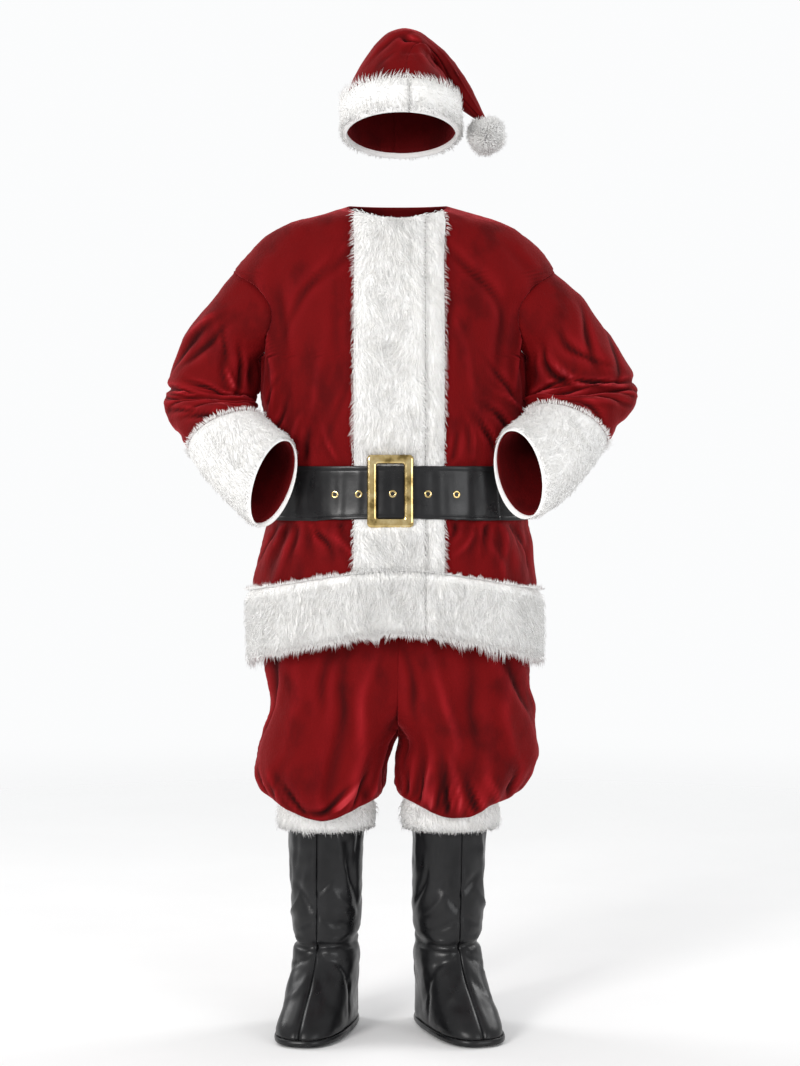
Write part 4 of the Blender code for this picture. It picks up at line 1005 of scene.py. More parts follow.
# Lights: name, place, aim, size, power and colour
LIGHTS = (
    ("key", (-2.6, -4.1, 0.9), (0.0, 0.0, -0.6), (1.4, 1.4), 140.0, (1.0, 0.985, 0.97)),
    ("fill", (2.8, -3.6, 0.1), (0.0, 0.0, -0.7), (2.0, 2.0), 48.0, (0.98, 0.99, 1.0)),
    ("rim_left", (-2.6, 1.6, 1.2), (0.0, 0.0, -0.4), (1.2, 2.0), 38.0, (1.0, 1.0, 1.0)),
    ("rim_right", (2.6, 1.6, 1.2), (0.0, 0.0, -0.4), (1.2, 2.0), 38.0, (1.0, 1.0, 1.0)),
)

rng = np.random.default_rng(24)


def soft_noise(points, size, seed, waves=20):
    """A smooth uneven field of about unit height with features of about the given size."""
    source = np.random.default_rng(seed)
    directions = source.normal(size=(waves, 3))
    directions /= np.linalg.norm(directions, axis=1)[:, None]
    pitch = WHOLE_TURN / size * source.uniform(0.5, 1.3, waves)
    phase = source.uniform(0, WHOLE_TURN, waves)
    total = np.zeros(points.shape[:-1])
    for direction, rate, shift in zip(directions, pitch, phase):
        total += np.sin(points @ direction * rate + shift)
    return total * math.sqrt(2 / waves)


def make_mesh(name, points, faces, materials, fold_light_level=None):
    """A mesh from points and arrays of faces, with each point's fold value: how deep it lies in a
    fold, which the plush colour turns into painted shade and painted highlight.
    """
    mesh = bpy.data.meshes.new(name)
    lifted = np.asarray(points, float) - np.array((0.0, 0.0, HOLD_HEIGHT))
    corners = np.concatenate([np.asarray(face).ravel() for face in faces]).astype(np.int32)
    sizes = np.concatenate([np.full(len(face), np.shape(face)[1]) for face in faces])
    starts = np.concatenate(((0,), np.cumsum(sizes)[:-1])).astype(np.int32)
    mesh.vertices.add(len(lifted))
    mesh.vertices.foreach_set("co", lifted.astype(np.float32).ravel())
    mesh.loops.add(len(corners))
    mesh.loops.foreach_set("vertex_index", corners)
    mesh.polygons.add(len(sizes))
    mesh.polygons.foreach_set("loop_start", starts)
    if fold_light_level is not None:
        # Fold value per point, read by the plush colour for its painted shade and painted highlight
        layer = mesh.attributes.new("fold", "FLOAT", "POINT")
        layer.data.foreach_set("value", np.asarray(fold_light_level, np.float32).ravel())
    mesh.update(calc_edges=True)
    mesh.shade_smooth()
    for material in materials:
        mesh.materials.append(material)
    item = bpy.data.objects.new(name, mesh)
    bpy.context.scene.collection.objects.link(item)
    return item


def grid_faces(rows, columns, wrap=False, first=0, flip=False, closed=False):
    """Four-sided faces of a grid; wrap joins its columns into a ring, closed joins its rows."""
    across = columns if wrap else columns - 1
    along = rows if closed else rows - 1
    row, col = np.meshgrid(np.arange(along), np.arange(across), indexing="ij")
    after = (row + 1) % rows * columns
    turn = (col + 1) % columns
    row = row * columns
    faces = first + np.stack((row + col, row + turn, after + turn, after + col), axis=-1)
    faces = faces.reshape(-1, 4)
    return faces[:, ::-1] if flip else faces


def wall_faces(rows, columns, wrap, flip):
    """Faces of a closed wall: an outer grid followed by an inner grid."""
    inward = rows * columns
    outer = grid_faces(rows, columns, wrap, 0, flip)
    inner = grid_faces(rows, columns, wrap, inward, not flip)
    across = columns if wrap else columns - 1
    col = np.arange(across)
    following = (col + 1) % columns
    top = (rows - 1) * columns
    rims = [
        np.stack((following, col, inward + col, inward + following), axis=1),
        np.stack((col, following, inward + following, inward + col), axis=1) + top,
    ]
    if not wrap:
        row = np.arange(rows - 1) * columns
        for edge, turned in ((0, False), (columns - 1, True)):
            a = row + edge
            b = a + columns
            rim = np.stack((a, b, inward + b, inward + a), axis=1)
            rims.append(rim[:, ::-1] if turned else rim)
    rims = [rim[:, ::-1] if flip else rim for rim in rims]
    return [outer, inner] + rims


def grid_normals(points):
    """Directions in which the middle row of a grid's own faces look."""
    row = points.shape[0] // 2
    around = points[row, 1:] - points[row, :-1]
    along = points[row + 1, :-1] - points[row, :-1]
    return np.cross(around, along)


def wall_piece(name, cloth, u, v, outer, inner, material, wrap=False):
    """A closed sheet of cloth between two offsets of a surface, and the area of its outer face."""
    over = cloth.points(u, v, outer)
    under = cloth.points(u, v, inner)
    rows, columns = u.shape
    out = (over - under)[rows // 2, :-1]
    flip = np.einsum("ij,ij->i", grid_normals(over), out).sum() < 0
    points = np.concatenate((over.reshape(-1, 3), under.reshape(-1, 3)))
    # Fold values for the plush's painted shade and highlight; the inner face gets a fixed painted
    # shade
    fold_light_level = cloth.fold_light_level(u, v)
    fold_light_level = np.concatenate((fold_light_level, np.full(fold_light_level.shape, INSIDE_PAINTED_SHADE)))
    item = make_mesh(name, points, wall_faces(rows, columns, wrap, flip), [material], fold_light_level)
    return item, grid_area(over)


def grid_area(points):
    a = points[1:, :-1] - points[:-1, :-1]
    b = points[:-1, 1:] - points[:-1, :-1]
    return np.linalg.norm(np.cross(a, b), axis=-1).sum()


def patch(edges, span, cut, wrap=False, step=CLOTH_STEP, full=None):
    """Rows and columns over a part of a surface; edges gives its two side angles at v.

    Where the edges wander, full gives their even places, and only the columns near them follow.
    """
    width, length = cut
    rows = max(3, int(length / step))
    columns = max(3, int(width / step))
    v = np.linspace(*span, rows)
    start, end = edges(v)
    share = np.linspace(0, 1, columns + 1)[:-1] if wrap else np.linspace(0, 1, columns)
    if full is None:
        u = start[:, None] * (1 - share) + end[:, None] * share
    else:
        u = full[0] * (1 - share) + full[1] * share
        for edge, even, near in ((start, full[0], 1 - share), (end, full[1], share)):
            moved = (edge - even)[:, None]
            power = 0.8 * abs(full[1] - full[0]) / np.maximum(np.abs(moved), 0.01)
            u = u + moved * near ** np.clip(power, 1, 8)
    return u, np.broadcast_to(v[:, None], u.shape)


def plush_relief(points, share, width, wrap, loose, seams):
    """Soft unevenness of the cloth, and the dip and pucker along its side seams."""
    relief = soft_noise(points, 0.075, 3) + 0.3 * soft_noise(points, 0.030, 5)
    relief = UNDULATION * relief * loose
    if not wrap:
        near = np.minimum(share, 1 - share) * width
        relief = relief * np.clip(near / (3 * SEAM_REACH), 0, 1)
        dip = np.exp(-(near / SEAM_REACH) ** 2) * np.where(share < 0.5, *seams)
        pucker = np.exp(-(near / PUCKER_REACH) ** 2) * np.sin(points[..., 2] * PUCKER_RATE)
        relief = relief - SEAM_DIP * dip + SEAM_PUCKER * pucker
    return relief


def plush_piece(node, cloth, edges, span, cut, materials, loose, wrap=False, under=None,
                seams=(1.0, 1.0), full=None):
    """Plush over one solid; loose says where it may be uneven, under moves it in."""
    u, v = patch(edges, span, cut, wrap, full=full)
    share = np.broadcast_to(np.linspace(0, 1, u.shape[1]), u.shape)
    if not wrap:
        u = u + (share - 0.5) * 2 * SEAM_LAP / cut[0] * (u[:, -1:] - u[:, :1])
    relief = plush_relief(cloth.points(u, v), share, cut[0], wrap, loose(u, v), seams)
    if under is not None:
        relief = relief + under(u, v)
    item, area = wall_piece(
        f"{node}_cloth", cloth, u, v, relief, relief - PLUSH, materials["plush"], wrap
    )
    return settle(item, node)


def wear(item, node=None):
    """Ties a piece to the part's one body, and hides the solid that it stands for."""
    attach(item, "root")
    if node is not None:
        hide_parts(node)
    return item


def settle(item, node):
    """Ties a sheet to the part's one body and hides the solid that it stands for."""
    wear(item, node)
    return item


def strand_mesh(name, roots, mids, tips, radius, material):
    """Thin three-sided strands, each bent once, with a point at the tip."""
    along = mids - roots
    along /= np.linalg.norm(along, axis=1)[:, None]
    helper = np.where(np.abs(along[:, :1]) < 0.8, (1.0, 0.0, 0.0), (0.0, 1.0, 0.0))
    side = np.cross(along, helper)
    side /= np.linalg.norm(side, axis=1)[:, None]
    other = np.cross(along, side)
    rings = []
    for centre, share in ((roots, 1.0), (mids, 0.75)):
        for corner in range(3):
            angle = corner * WHOLE_TURN / 3
            spoke = side * math.cos(angle) + other * math.sin(angle)
            rings.append(centre + spoke * (radius * share)[:, None])
    points = np.stack(rings + [tips], axis=1).reshape(-1, 3)
    start = np.arange(len(roots)) * 7
    quads = []
    points_up = []
    for corner in range(3):
        here, after = start + corner, start + (corner + 1) % 3
        quads.append(np.stack((here, after, after + 3, here + 3), axis=1))
        points_up.append(np.stack((here + 3, after + 3, start + 6), axis=1))
    return make_mesh(name, points, [np.concatenate(quads), np.concatenate(points_up)], [material])


def unit(vectors):
    """The same directions with length 1."""
    return vectors / np.maximum(np.linalg.norm(vectors, axis=-1, keepdims=True), 1e-9)


def fur_pile(name, cloth, u, v, bed, pile, fall, material, length, spread):
    """Clumped strands over a grid of roots; bed and pile are the heights of root and tip."""
    rows, columns = u.shape
    step_u = np.gradient(u, axis=1)
    step_v = np.gradient(v, axis=0)
    low, high = cloth.ends
    u = u + step_u * rng.uniform(-0.5, 0.5, u.shape)
    v = np.clip(v + step_v * rng.uniform(-0.5, 0.5, v.shape), v.min(), v.max())
    roots = cloth.points(u, v, bed)
    lifted = cloth.points(u, v, np.asarray(bed) + 0.004)
    normal = unit(lifted - roots)
    step = max(abs(float(np.mean(step_v))), 0.004 * (high - low))
    onward = unit(cloth.points(u, v + step, bed) - cloth.points(u, v - step, bed))
    down = onward * np.broadcast_to(fall, u.shape)[..., None]
    across = np.cross(onward, normal)
    sway = 0.26 * soft_noise(roots, 0.06, 11) + 0.20 * rng.normal(size=u.shape) + spread
    lean = down + across * sway[..., None]
    lean = lean / np.maximum(np.linalg.norm(lean, axis=-1, keepdims=True), 1.0)
    tall = np.broadcast_to(np.asarray(pile, float) - bed, u.shape)
    stray = 1 + 0.8 * (rng.uniform(size=u.shape) > 0.86)
    uneven = 0.95 + 0.08 * soft_noise(roots, 0.03, 13) + 0.08 * rng.normal(size=u.shape)
    tall = tall * np.clip(uneven, 0.6, 1.3) * stray
    uneven = np.clip(0.9 + 0.2 * rng.normal(size=u.shape), 0.5, 1.35)
    reach = np.broadcast_to(length, u.shape) * uneven
    mids = roots + normal * (tall * 0.75)[..., None] + lean * (reach * 0.35)[..., None]
    tips = roots + normal * tall[..., None] + lean * reach[..., None]
    row, col = np.meshgrid(np.arange(rows) // CLUMP, np.arange(columns) // CLUMP, indexing="ij")
    label = (row * (columns // CLUMP + 1) + col).ravel()
    count = np.bincount(label)
    flat = tips.reshape(-1, 3)
    heart = np.stack([np.bincount(label, flat[:, axis]) for axis in range(3)], axis=1)
    heart = heart / np.maximum(count, 1)[:, None]
    pull = rng.uniform(0.05, 0.45, len(count))[label][:, None]
    flat = flat + (heart[label] - flat) * pull
    radius = STRAND_ROOT * rng.uniform(0.7, 1.15, len(flat))
    item = strand_mesh(name, roots.reshape(-1, 3), mids.reshape(-1, 3), flat, radius, material)
    return wear(item)


def fur_piece(node, cloth, edges, span, cut, pile, materials, under=SEAM, wrap=False, fall=-1.0,
              edge_fade=0.012, spill=(0.0, 0.0), rims=()):
    """A fur band: a low uneven backing, the strands that stand out of it, and tufts at its rims.

    Fall is how far the strands lean along v, and spill how far they lean out at both sides.
    """
    low, high = span
    width, length = cut

    def heights(step, side_floor):
        """A grid with the pile's height, lower near the band's ends and sides."""
        u, v = patch(edges, span, cut, wrap, step)
        share = (v - low) / (high - low)
        from_end = np.minimum(share, 1 - share) * length
        height = pile(u, v) * (FUR_END + (1 - FUR_END) * np.clip(from_end / edge_fade, 0, 1) ** 0.5)
        if not wrap:
            side = np.linspace(0, 1, u.shape[1])
            from_side = np.minimum(side, 1 - side) * width
            rise = np.clip(from_side / edge_fade, 0, 1) ** 0.5
            height = height * (side_floor + (1 - side_floor) * rise)
        return u, v, from_end, height

    u, v, from_end, height = heights(FUR_STEP, 0.5)
    uneven = BED + 0.02 * soft_noise(cloth.points(u, v), 0.022, 17)
    bed = height * uneven * np.clip(from_end / 0.008, 0.12, 1)
    base = under(u, v) if callable(under) else under
    item, area = wall_piece(f"{node}_backing", cloth, u, v, np.maximum(bed, base + 0.0009), base,
                            materials["fur_backing"], wrap)
    u, v, from_end, height = heights(STRAND_GAP, 0.6)
    reach = STRAND * np.clip(height / FUR, 0.45, 1)
    if callable(fall):
        fall = fall(u, v)
    side = np.linspace(-1, 1, u.shape[1])
    spread = spill[1] * np.clip(side, 0, 1) ** 6 + spill[0] * np.clip(-side, 0, 1) ** 6
    parts = [fur_pile(f"{node}_pile", cloth, u, v, height * (BED - 0.12), height * 0.98, fall,
                      materials["fur"], reach, spread)]
    for edge, way, tuft_length in rims:
        count = int(width / RIM_GAP)
        start, end = edges(np.array((edge, edge)))
        turns = start[0] + (end[0] - start[0]) * np.arange(count) / count
        u, v = np.meshgrid(turns, np.full(RIM_ROWS, edge))
        layer = np.linspace(0, 1, RIM_ROWS)[:, None] + 0 * u
        deep = pile(u, np.full(u.shape, edge - way * 0.1 * (high - low))) * RIM_DEPTH
        bed = 0.0003 + deep * layer
        tuft = tuft_length * (1 + 0.4 * soft_noise(cloth.points(u, v), 0.014, 19))
        tips = bed + RIM_RISE * (0.2 + layer)
        parts.append(fur_pile(f"{node}_rim_{len(parts)}", cloth, u, v, bed, tips, way,
                              materials["fur"], tuft, np.zeros(count)))
    return settle(item, node)


# Materials

def new_material(name, **sockets):
    made = bpy.data.materials.new(name)
    made.use_nodes = True
    shader = made.node_tree.nodes["Principled BSDF"]
    for socket, value in sockets.items():
        shader.inputs[socket.replace("_", " ")].default_value = value
    return made


def noise(made, scale, detail=4.0, stretch=(1.0, 1.0, 1.0)):
    nodes = made.node_tree.nodes
    links = made.node_tree.links
    place = nodes.new("ShaderNodeTexCoord")
    mapping = nodes.new("ShaderNodeMapping")
    mapping.inputs["Scale"].default_value = stretch
    texture = nodes.new("ShaderNodeTexNoise")
    texture.inputs["Scale"].default_value = scale
    texture.inputs["Detail"].default_value = detail
    links.new(place.outputs["Object"], mapping.inputs["Vector"])
    links.new(mapping.outputs["Vector"], texture.inputs["Vector"])
    return texture.outputs["Fac"]


def ramp(made, factor, stops):
    node = made.node_tree.nodes.new("ShaderNodeValToRGB")
    made.node_tree.links.new(factor, node.inputs["Fac"])
    elements = node.color_ramp.elements
    for element, (place, color) in zip(elements, (stops[0], stops[-1])):
        element.position = place
        element.color = (*color, 1.0)
    for place, color in stops[1:-1]:
        elements.new(place).color = (*color, 1.0)
    return node.outputs["Color"]


def mixed(made, kind, first, second, factor):
    node = made.node_tree.nodes.new("ShaderNodeMix")
    node.data_type = "RGBA"
    node.blend_type = kind
    links = made.node_tree.links
    if isinstance(factor, float):
        node.inputs["Factor"].default_value = factor
    else:
        links.new(factor, node.inputs["Factor"])
    links.new(first, node.inputs["A"])
    links.new(second, node.inputs["B"])
    return node.outputs["Result"]


def bump(made, height, strength, distance, before=None):
    node = made.node_tree.nodes.new("ShaderNodeBump")
    node.inputs["Strength"].default_value = strength
    node.inputs["Distance"].default_value = distance
    links = made.node_tree.links
    links.new(height, node.inputs["Height"])
    if before is not None:
        links.new(before, node.inputs["Normal"])
    return node.outputs["Normal"]


def join(made, **sockets):
    shader = made.node_tree.nodes["Principled BSDF"]
    for socket, value in sockets.items():
        made.node_tree.links.new(value, shader.inputs[socket.replace("_", " ")])
    return made


def plush_material():
    made = new_material(
        "crimson_plush", Roughness=0.80, Sheen_Weight=0.45, Sheen_Roughness=0.34,
        Sheen_Tint=(1.0, 0.11, 0.13, 1.0), Specular_IOR_Level=0.10,
    )
    # Painted light: by the fold value the colour runs from near black in folds, painted shade, to
    # pinkish red on ridges, painted highlight
    fold = made.node_tree.nodes.new("ShaderNodeAttribute")
    fold.attribute_name = "fold"
    level = made.node_tree.nodes.new("ShaderNodeMapRange")
    level.inputs["From Min"].default_value = -1.0
    made.node_tree.links.new(fold.outputs["Fac"], level.inputs["Value"])
    painted_fold_light = ramp(made, level.outputs["Result"], (
        (0.0, (0.014, 0.0003, 0.0005)), (0.28, (0.058, 0.0007, 0.0012)),
        (0.50, (0.148, 0.0016, 0.0024)), (0.68, (0.250, 0.0060, 0.0090)),
        (1.0, (0.560, 0.0420, 0.0520)),
    ))
    bruise = ramp(made, noise(made, 19.0, 5.0, (1.0, 1.0, 0.6)), (
        (0.34, (0.60, 0.56, 0.58)), (0.50, (0.92, 0.92, 0.92)), (0.70, (1.0, 1.0, 1.0)),
    ))
    fine = noise(made, 900.0, 2.0)
    tufts = noise(made, 240.0, 3.0, (1.0, 1.0, 0.6))
    normal = bump(made, fine, 0.35, 0.0012)
    normal = bump(made, tufts, 0.45, 0.0020, normal)
    normal = bump(made, noise(made, 16.0, 2.0, (1.0, 1.0, 0.7)), 0.35, 0.0120, normal)
    return join(made, Base_Color=mixed(made, "MULTIPLY", painted_fold_light, bruise, 1.0), Normal=normal)


def fur_material(name, light):
    made = new_material(
        name, Roughness=0.70, Sheen_Weight=0.20, Sheen_Roughness=0.40, Specular_IOR_Level=0.20,
        Subsurface_Weight=0.35, Subsurface_Radius=(0.006, 0.006, 0.006), Subsurface_Scale=1.0,
    )
    # Light scales the fur colour; the bed's copy at 0.98 is a slight painted shade under the
    # strands
    tone = ramp(made, noise(made, 60.0, 4.0), (
        (0.30, (0.93 * light, 0.92 * light, 0.90 * light)),
        (0.65, (0.985 * light, 0.98 * light, 0.97 * light)),
    ))
    normal = bump(made, noise(made, 420.0, 3.0, (1.0, 1.0, 0.22)), 0.35, 0.0022)
    return join(made, Base_Color=tone, Normal=normal)


def vinyl_material():
    made = new_material(
        "black_vinyl", Specular_IOR_Level=0.30, Coat_Weight=0.04, Coat_Roughness=0.22,
    )
    tone = ramp(made, noise(made, 18.0, 4.0), (
        (0.35, (0.0045, 0.0045, 0.0052)), (0.70, (0.0120, 0.0120, 0.0130)),
    ))
    gloss = ramp(made, noise(made, 30.0, 5.0), ((0.30, (0.25,) * 3), (0.70, (0.40,) * 3)))
    normal = bump(made, noise(made, 620.0, 2.0), 0.16, 0.0006)
    normal = bump(made, noise(made, 34.0, 2.0), 0.16, 0.0040, normal)
    return join(made, Base_Color=tone, Roughness=gloss, Normal=normal)


def brass_material():
    made = new_material("polished_brass", Metallic=1.0)
    # Uneven brass tone whose dark patches are painted dark reflections
    tone = ramp(made, noise(made, 55.0, 4.0), (
        (0.32, (0.26, 0.18, 0.06)), (0.46, (0.60, 0.44, 0.18)), (0.70, (0.82, 0.66, 0.35)),
    ))
    gloss = ramp(made, noise(made, 120.0, 4.0), ((0.30, (0.10,) * 3), (0.75, (0.20,) * 3)))
    normal = bump(made, noise(made, 900.0, 2.0, (1.0, 1.0, 0.08)), 0.06, 0.0006)
    return join(made, Base_Color=tone, Roughness=gloss, Normal=normal)


def satin_material():
    made = new_material(
        "red_satin", Roughness=0.36, Specular_IOR_Level=0.6, Sheen_Weight=0.2, Anisotropic=0.4,
    )
    tone = ramp(made, noise(made, 40.0, 3.0), (
        (0.35, (0.50, 0.006, 0.014)), (0.70, (0.66, 0.012, 0.022)),
    ))
    normal = bump(made, noise(made, 700.0, 1.0, (0.1, 1.0, 1.0)), 0.10, 0.0006)
    return join(made, Base_Color=tone, Normal=normal)


def stitch_material():
    made = new_material("black_thread", Roughness=0.62, Specular_IOR_Level=0.3)
    tone = ramp(made, noise(made, 500.0, 2.0), (
        (0.3, (0.012, 0.012, 0.013)), (0.7, (0.045, 0.045, 0.048)),
    ))
    return join(made, Base_Color=tone)


def hole_shade_material():
    # A near-black disc in each eyelet's hole: painted shade
    made = new_material("eyelet_hole_shade", Roughness=0.8)
    tone = ramp(made, noise(made, 300.0, 2.0), ((0.3, (0.004,) * 3), (0.7, (0.009,) * 3)))
    return join(made, Base_Color=tone)


def floor_material():
    """A pale floor that fades into the white room round it."""
    made = new_material("pale_floor", Roughness=0.85, Specular_IOR_Level=0.2)
    tone = ramp(made, noise(made, 3.0, 2.0), ((0.3, (0.90,) * 3), (0.7, (0.92,) * 3)))
    nodes = made.node_tree.nodes
    links = made.node_tree.links
    place = nodes.new("ShaderNodeTexCoord")
    away = nodes.new("ShaderNodeVectorMath")
    away.operation = "LENGTH"
    links.new(place.outputs["Object"], away.inputs[0])
    share = nodes.new("ShaderNodeMapRange")
    share.interpolation_type = "SMOOTHSTEP"
    share.inputs["From Min"].default_value = FLOOR_SOLID
    share.inputs["From Max"].default_value = FLOOR_REACH
    links.new(away.outputs["Value"], share.inputs["Value"])
    clear = nodes.new("ShaderNodeBsdfTransparent")
    blend = nodes.new("ShaderNodeMixShader")
    links.new(share.outputs["Result"], blend.inputs["Fac"])
    links.new(nodes["Principled BSDF"].outputs["BSDF"], blend.inputs[1])
    links.new(clear.outputs["BSDF"], blend.inputs[2])
    links.new(blend.outputs["Shader"], nodes["Material Output"].inputs["Surface"])
    return join(made, Base_Color=tone)


# The jacket

def beside_belt(u, v):
    """0 under the belt, rising to 1 at a short distance from it."""
    edge = BELT_HALF + 0.002
    return eased(np.abs(v - BELT_MIDDLE), edge, edge + BELT_FREE)


def jacket_loose(u, v):
    """Where the jacket's cloth is free of the belt, the fur bands and the neck edge."""
    heights = v[:, 0]
    turn = nearest_turn(u)
    left = angle_across(BAND_LEFT_EDGE, heights)[:, None]
    right = angle_across(BAND_RIGHT_EDGE, heights)[:, None]
    aside = np.clip(np.maximum(left - turn, turn - right) / 0.05, 0, 1)
    above = np.clip((v - HEM_BAND_TOP) / 0.012, 0, 1)
    below = np.clip((NECKLINE - v) / 0.020, 0, 1)
    return beside_belt(u, v) * aside * above * below


def torso_cloth():
    return Cloth(torso_place, (TORSO[0][0], TORSO[-1][0]), TORSO_FOLDS, TORSO_RADIUS,
                 creases=TORSO_CREASES, calm=beside_belt)


def side_seam(armhole, heights):
    return side_angle(heights, armhole, SEAM / 2)


def left_front(heights):
    return -side_seam(ARMHOLE_FRONT, heights), angle_across(OPENING - SEAM, heights)


def right_front(heights):
    return angle_across(OPENING - LAP, heights), side_seam(ARMHOLE_FRONT, heights)


def back_panel(heights):
    edge = side_seam(ARMHOLE_BACK, heights)
    return 2 * QUARTER - edge, 2 * QUARTER + edge


def lap_depth(u, v):
    """The right front's edge lies under the left front."""
    heights = v[:, 0]
    level = angle_across(OPENING + SEAM_CLEAR, heights)[:, None]
    end = angle_across(LAP_RISE, heights)[:, None]
    return -(PLUSH + LAP_CLEAR) * (1 - eased(u, level, end))


def front_pile(u, v):
    """Height of the front bands' fur, pressed flat where the belt and buckle lie over them."""
    share = eased(np.maximum(PRESS_LOW - v, v - PRESS_HIGH), 0, FUR_PRESS_REACH)
    return FUR_PRESSED + (FUR - FUR_PRESSED) * share


def even_pile(u, v):
    return np.full(u.shape, FUR)


def over_lap(u, v):
    """Underside of the fur on the right front, which follows the lap."""
    return lap_depth(u, v) + SEAM


def over_edges(v):
    return angle_across(BAND_LEFT_EDGE, v), angle_across(OPENING - SEAM, v)


def under_edges(v):
    return angle_across(OPENING + SEAM_CLEAR, v), angle_across(BAND_RIGHT_EDGE, v)


def right_hem_edges(v):
    return angle_across(OPENING + SEAM_CLEAR, v), side_seam(ARMHOLE_FRONT, v)


def facing_edges(v):
    seam, band = -side_seam(ARMHOLE_FRONT, v), angle_across(BAND_LEFT_EDGE, v)
    return seam + (band - seam) / 6, seam + (band - seam) / 2


def jacket(materials, torso):
    """Body panels, then the front bands, the hem's bands and the satin facing."""
    span = (HEM, NECKLINE)
    for name, edges, under in (
        ("front_left", left_front, None), ("front_right", right_front, lap_depth),
        ("back", back_panel, None),
    ):
        plush_piece(f"jacket_{name}", torso, edges, span, CUTS[name], materials, jacket_loose,
                    under=under)
    span = (HEM_BAND_TOP + LAID_CLEAR, NECKLINE - 0.0012)
    fur_piece("front_band_over", torso, over_edges, span, CUTS["band_over"], front_pile,
              materials, spill=(-0.9, 1.1), edge_fade=0.004)
    fur_piece("front_band_under", torso, under_edges, span, CUTS["band_under"], front_pile,
              materials, under=over_lap, spill=(0.0, 0.5))
    span = (HEM - FUR_HANG, HEM_BAND_TOP)
    rims = ((span[1], 1.0, RIM_SHORT), (span[0], -1.0, RIM_LONG))
    for name, edges, cut, under in (
        ("front_left", left_front, "hem_left", SEAM),
        ("front_right", right_hem_edges, "hem_right", over_lap),
        ("back", back_panel, "hem_back", SEAM),
    ):
        fur_piece(f"hem_band_{name}", torso, edges, span, CUTS[cut], even_pile, materials,
                  under=under, rims=rims)
    cut = CUTS["facing"]
    u, v = patch(facing_edges, (FACING_LOW, FACING_TOP), cut, step=FACING_STEP)
    wave = 0.0012 * np.sin(u * 60) * (v - FACING_LOW) / (HEM - FACING_LOW)
    outer = -(PLUSH + SEAM) - np.abs(wave)
    satin = materials["satin"]
    item, area = wall_piece("hem_facing_satin", torso, u, v, outer, outer - SATIN, satin)
    settle(item, "hem_facing")


def cuff_pile(u, v):
    """Height of the cuffs' fur, pressed on the side that lies against the body."""
    body_side = CUFF_PRESSED_SIDE + (1 - CUFF_PRESSED_SIDE) * (1 + np.cos(u)) / 2
    return FUR * np.interp(v, CUFF_ROWS, CUFF_FUR) * body_side


def sleeve_loose(u, v):
    inner = np.clip(np.abs(np.abs(u - QUARTER) / 0.7), 0.3, 1)
    return np.clip(v / 0.08, 0, 1) * np.clip((CUFF_ROWS[0] - v) / 0.03, 0, 1) * inner


def sleeves(materials, torso):
    top, end = CUFF_ROWS[0], CUFF_ROWS[-1]
    for name, table, side in (("left", SLEEVE_LEFT, -1), ("right", SLEEVE_RIGHT, 1)):
        cloth = sleeve_cloth(torso, table, side)
        plush_piece(f"sleeve_{name}", cloth, all_round, (0.0, SLEEVE_END), CUTS["sleeve"],
                    materials, sleeve_loose, wrap=True)
        fur_piece(f"cuff_{name}", cloth, all_round, (top, end), CUTS["cuff"], cuff_pile,
                  materials, wrap=True, fall=1.0,
                  rims=((end, 1.0, RIM_LONG), (top, -1.0, RIM_SHORT)))


# The belt

def strap_inner(angle):
    """Distance of the strap's inner face from the jacket, by its unrolled angle."""
    over, level = np.radians(BELT_BAND_RAMP)
    over_band = FUR_PRESSED * eased(-np.abs(nearest_turn(angle)), -over, -level)
    low, high = np.radians(BELT_RAMP)
    lap = np.clip((angle - low) / (high - low), 0, 1)
    return BELT_CLEAR + over_band + (BELT_THICKNESS + LAID_CLEAR) * lap


def strap_outer(angle, height):
    """Outer face of the strap: soft upright ripples, a sewn groove and a rolled edge."""
    inward = BELT_HALF - np.abs(height - BELT_MIDDLE)
    ripple = np.zeros(np.broadcast(angle, height).shape)
    for rate, shift, skew, share in STRAP_RIPPLES:
        ripple = ripple + share * np.sin(angle * rate + shift + skew * (height - BELT_MIDDLE))
    calm = np.clip(inward / 0.02, 0, 1)
    groove = np.exp(-((inward - STITCH_INSET) / 0.0012) ** 2)
    rolled = np.exp(-(inward / 0.0014) ** 2)
    return strap_inner(angle) + BELT_THICKNESS + ripple * calm - 0.0006 * groove - 0.0007 * rolled


def strap_drop(angle, height):
    """How far the strap's lower half hangs below its even line at the front."""
    front = ((1 + np.cos(angle)) / 2) ** 3
    return STRAP_DROP * front * np.clip((BELT_HIGH - height) / (2 * BELT_HALF), 0, 1)


def belt(materials, torso):
    """The strap, once round and lapped, with a row of stitches near both edges."""
    start = angle_across(OPENING - LAP / 2, np.array((BELT_MIDDLE,)))[0]
    end = WHOLE_TURN + math.radians(BELT_LAP_END - 3)
    inward = np.array(STRAP_ROWS)
    levels = np.concatenate((BELT_LOW + inward, [BELT_MIDDLE], BELT_HIGH - inward[::-1]))
    u, flat = np.meshgrid(np.linspace(start, end, STRAP_COLUMNS), levels)
    v = flat - strap_drop(u, flat)
    outer = strap_outer(u, flat)
    vinyl = materials["vinyl"]
    item, area = wall_piece("belt_strap_vinyl", torso, u, v, outer, strap_inner(u), vinyl)
    stitches = []
    for height in (BELT_LOW + STITCH_INSET, BELT_HIGH - STITCH_INSET):
        angles = np.arange(start + 0.02, end - 0.02, STITCH_STEP / STRAP_RADIUS)
        surface = strap_outer(angles, height) + 0.0001
        level = height - strap_drop(angles, height)
        stitches.append((
            torso.points(angles, level, surface),
            torso.points(angles + STITCH_LONG / STRAP_RADIUS, level, surface),
            torso.points(angles, level, surface + 0.0005),
        ))
    starts, ends, outs = (np.concatenate(parts) for parts in zip(*stitches))
    thread = bead_mesh("belt_stitching", starts, ends, outs, THREAD, materials["thread"])
    wear(thread)
    settle(item, "belt_strap")


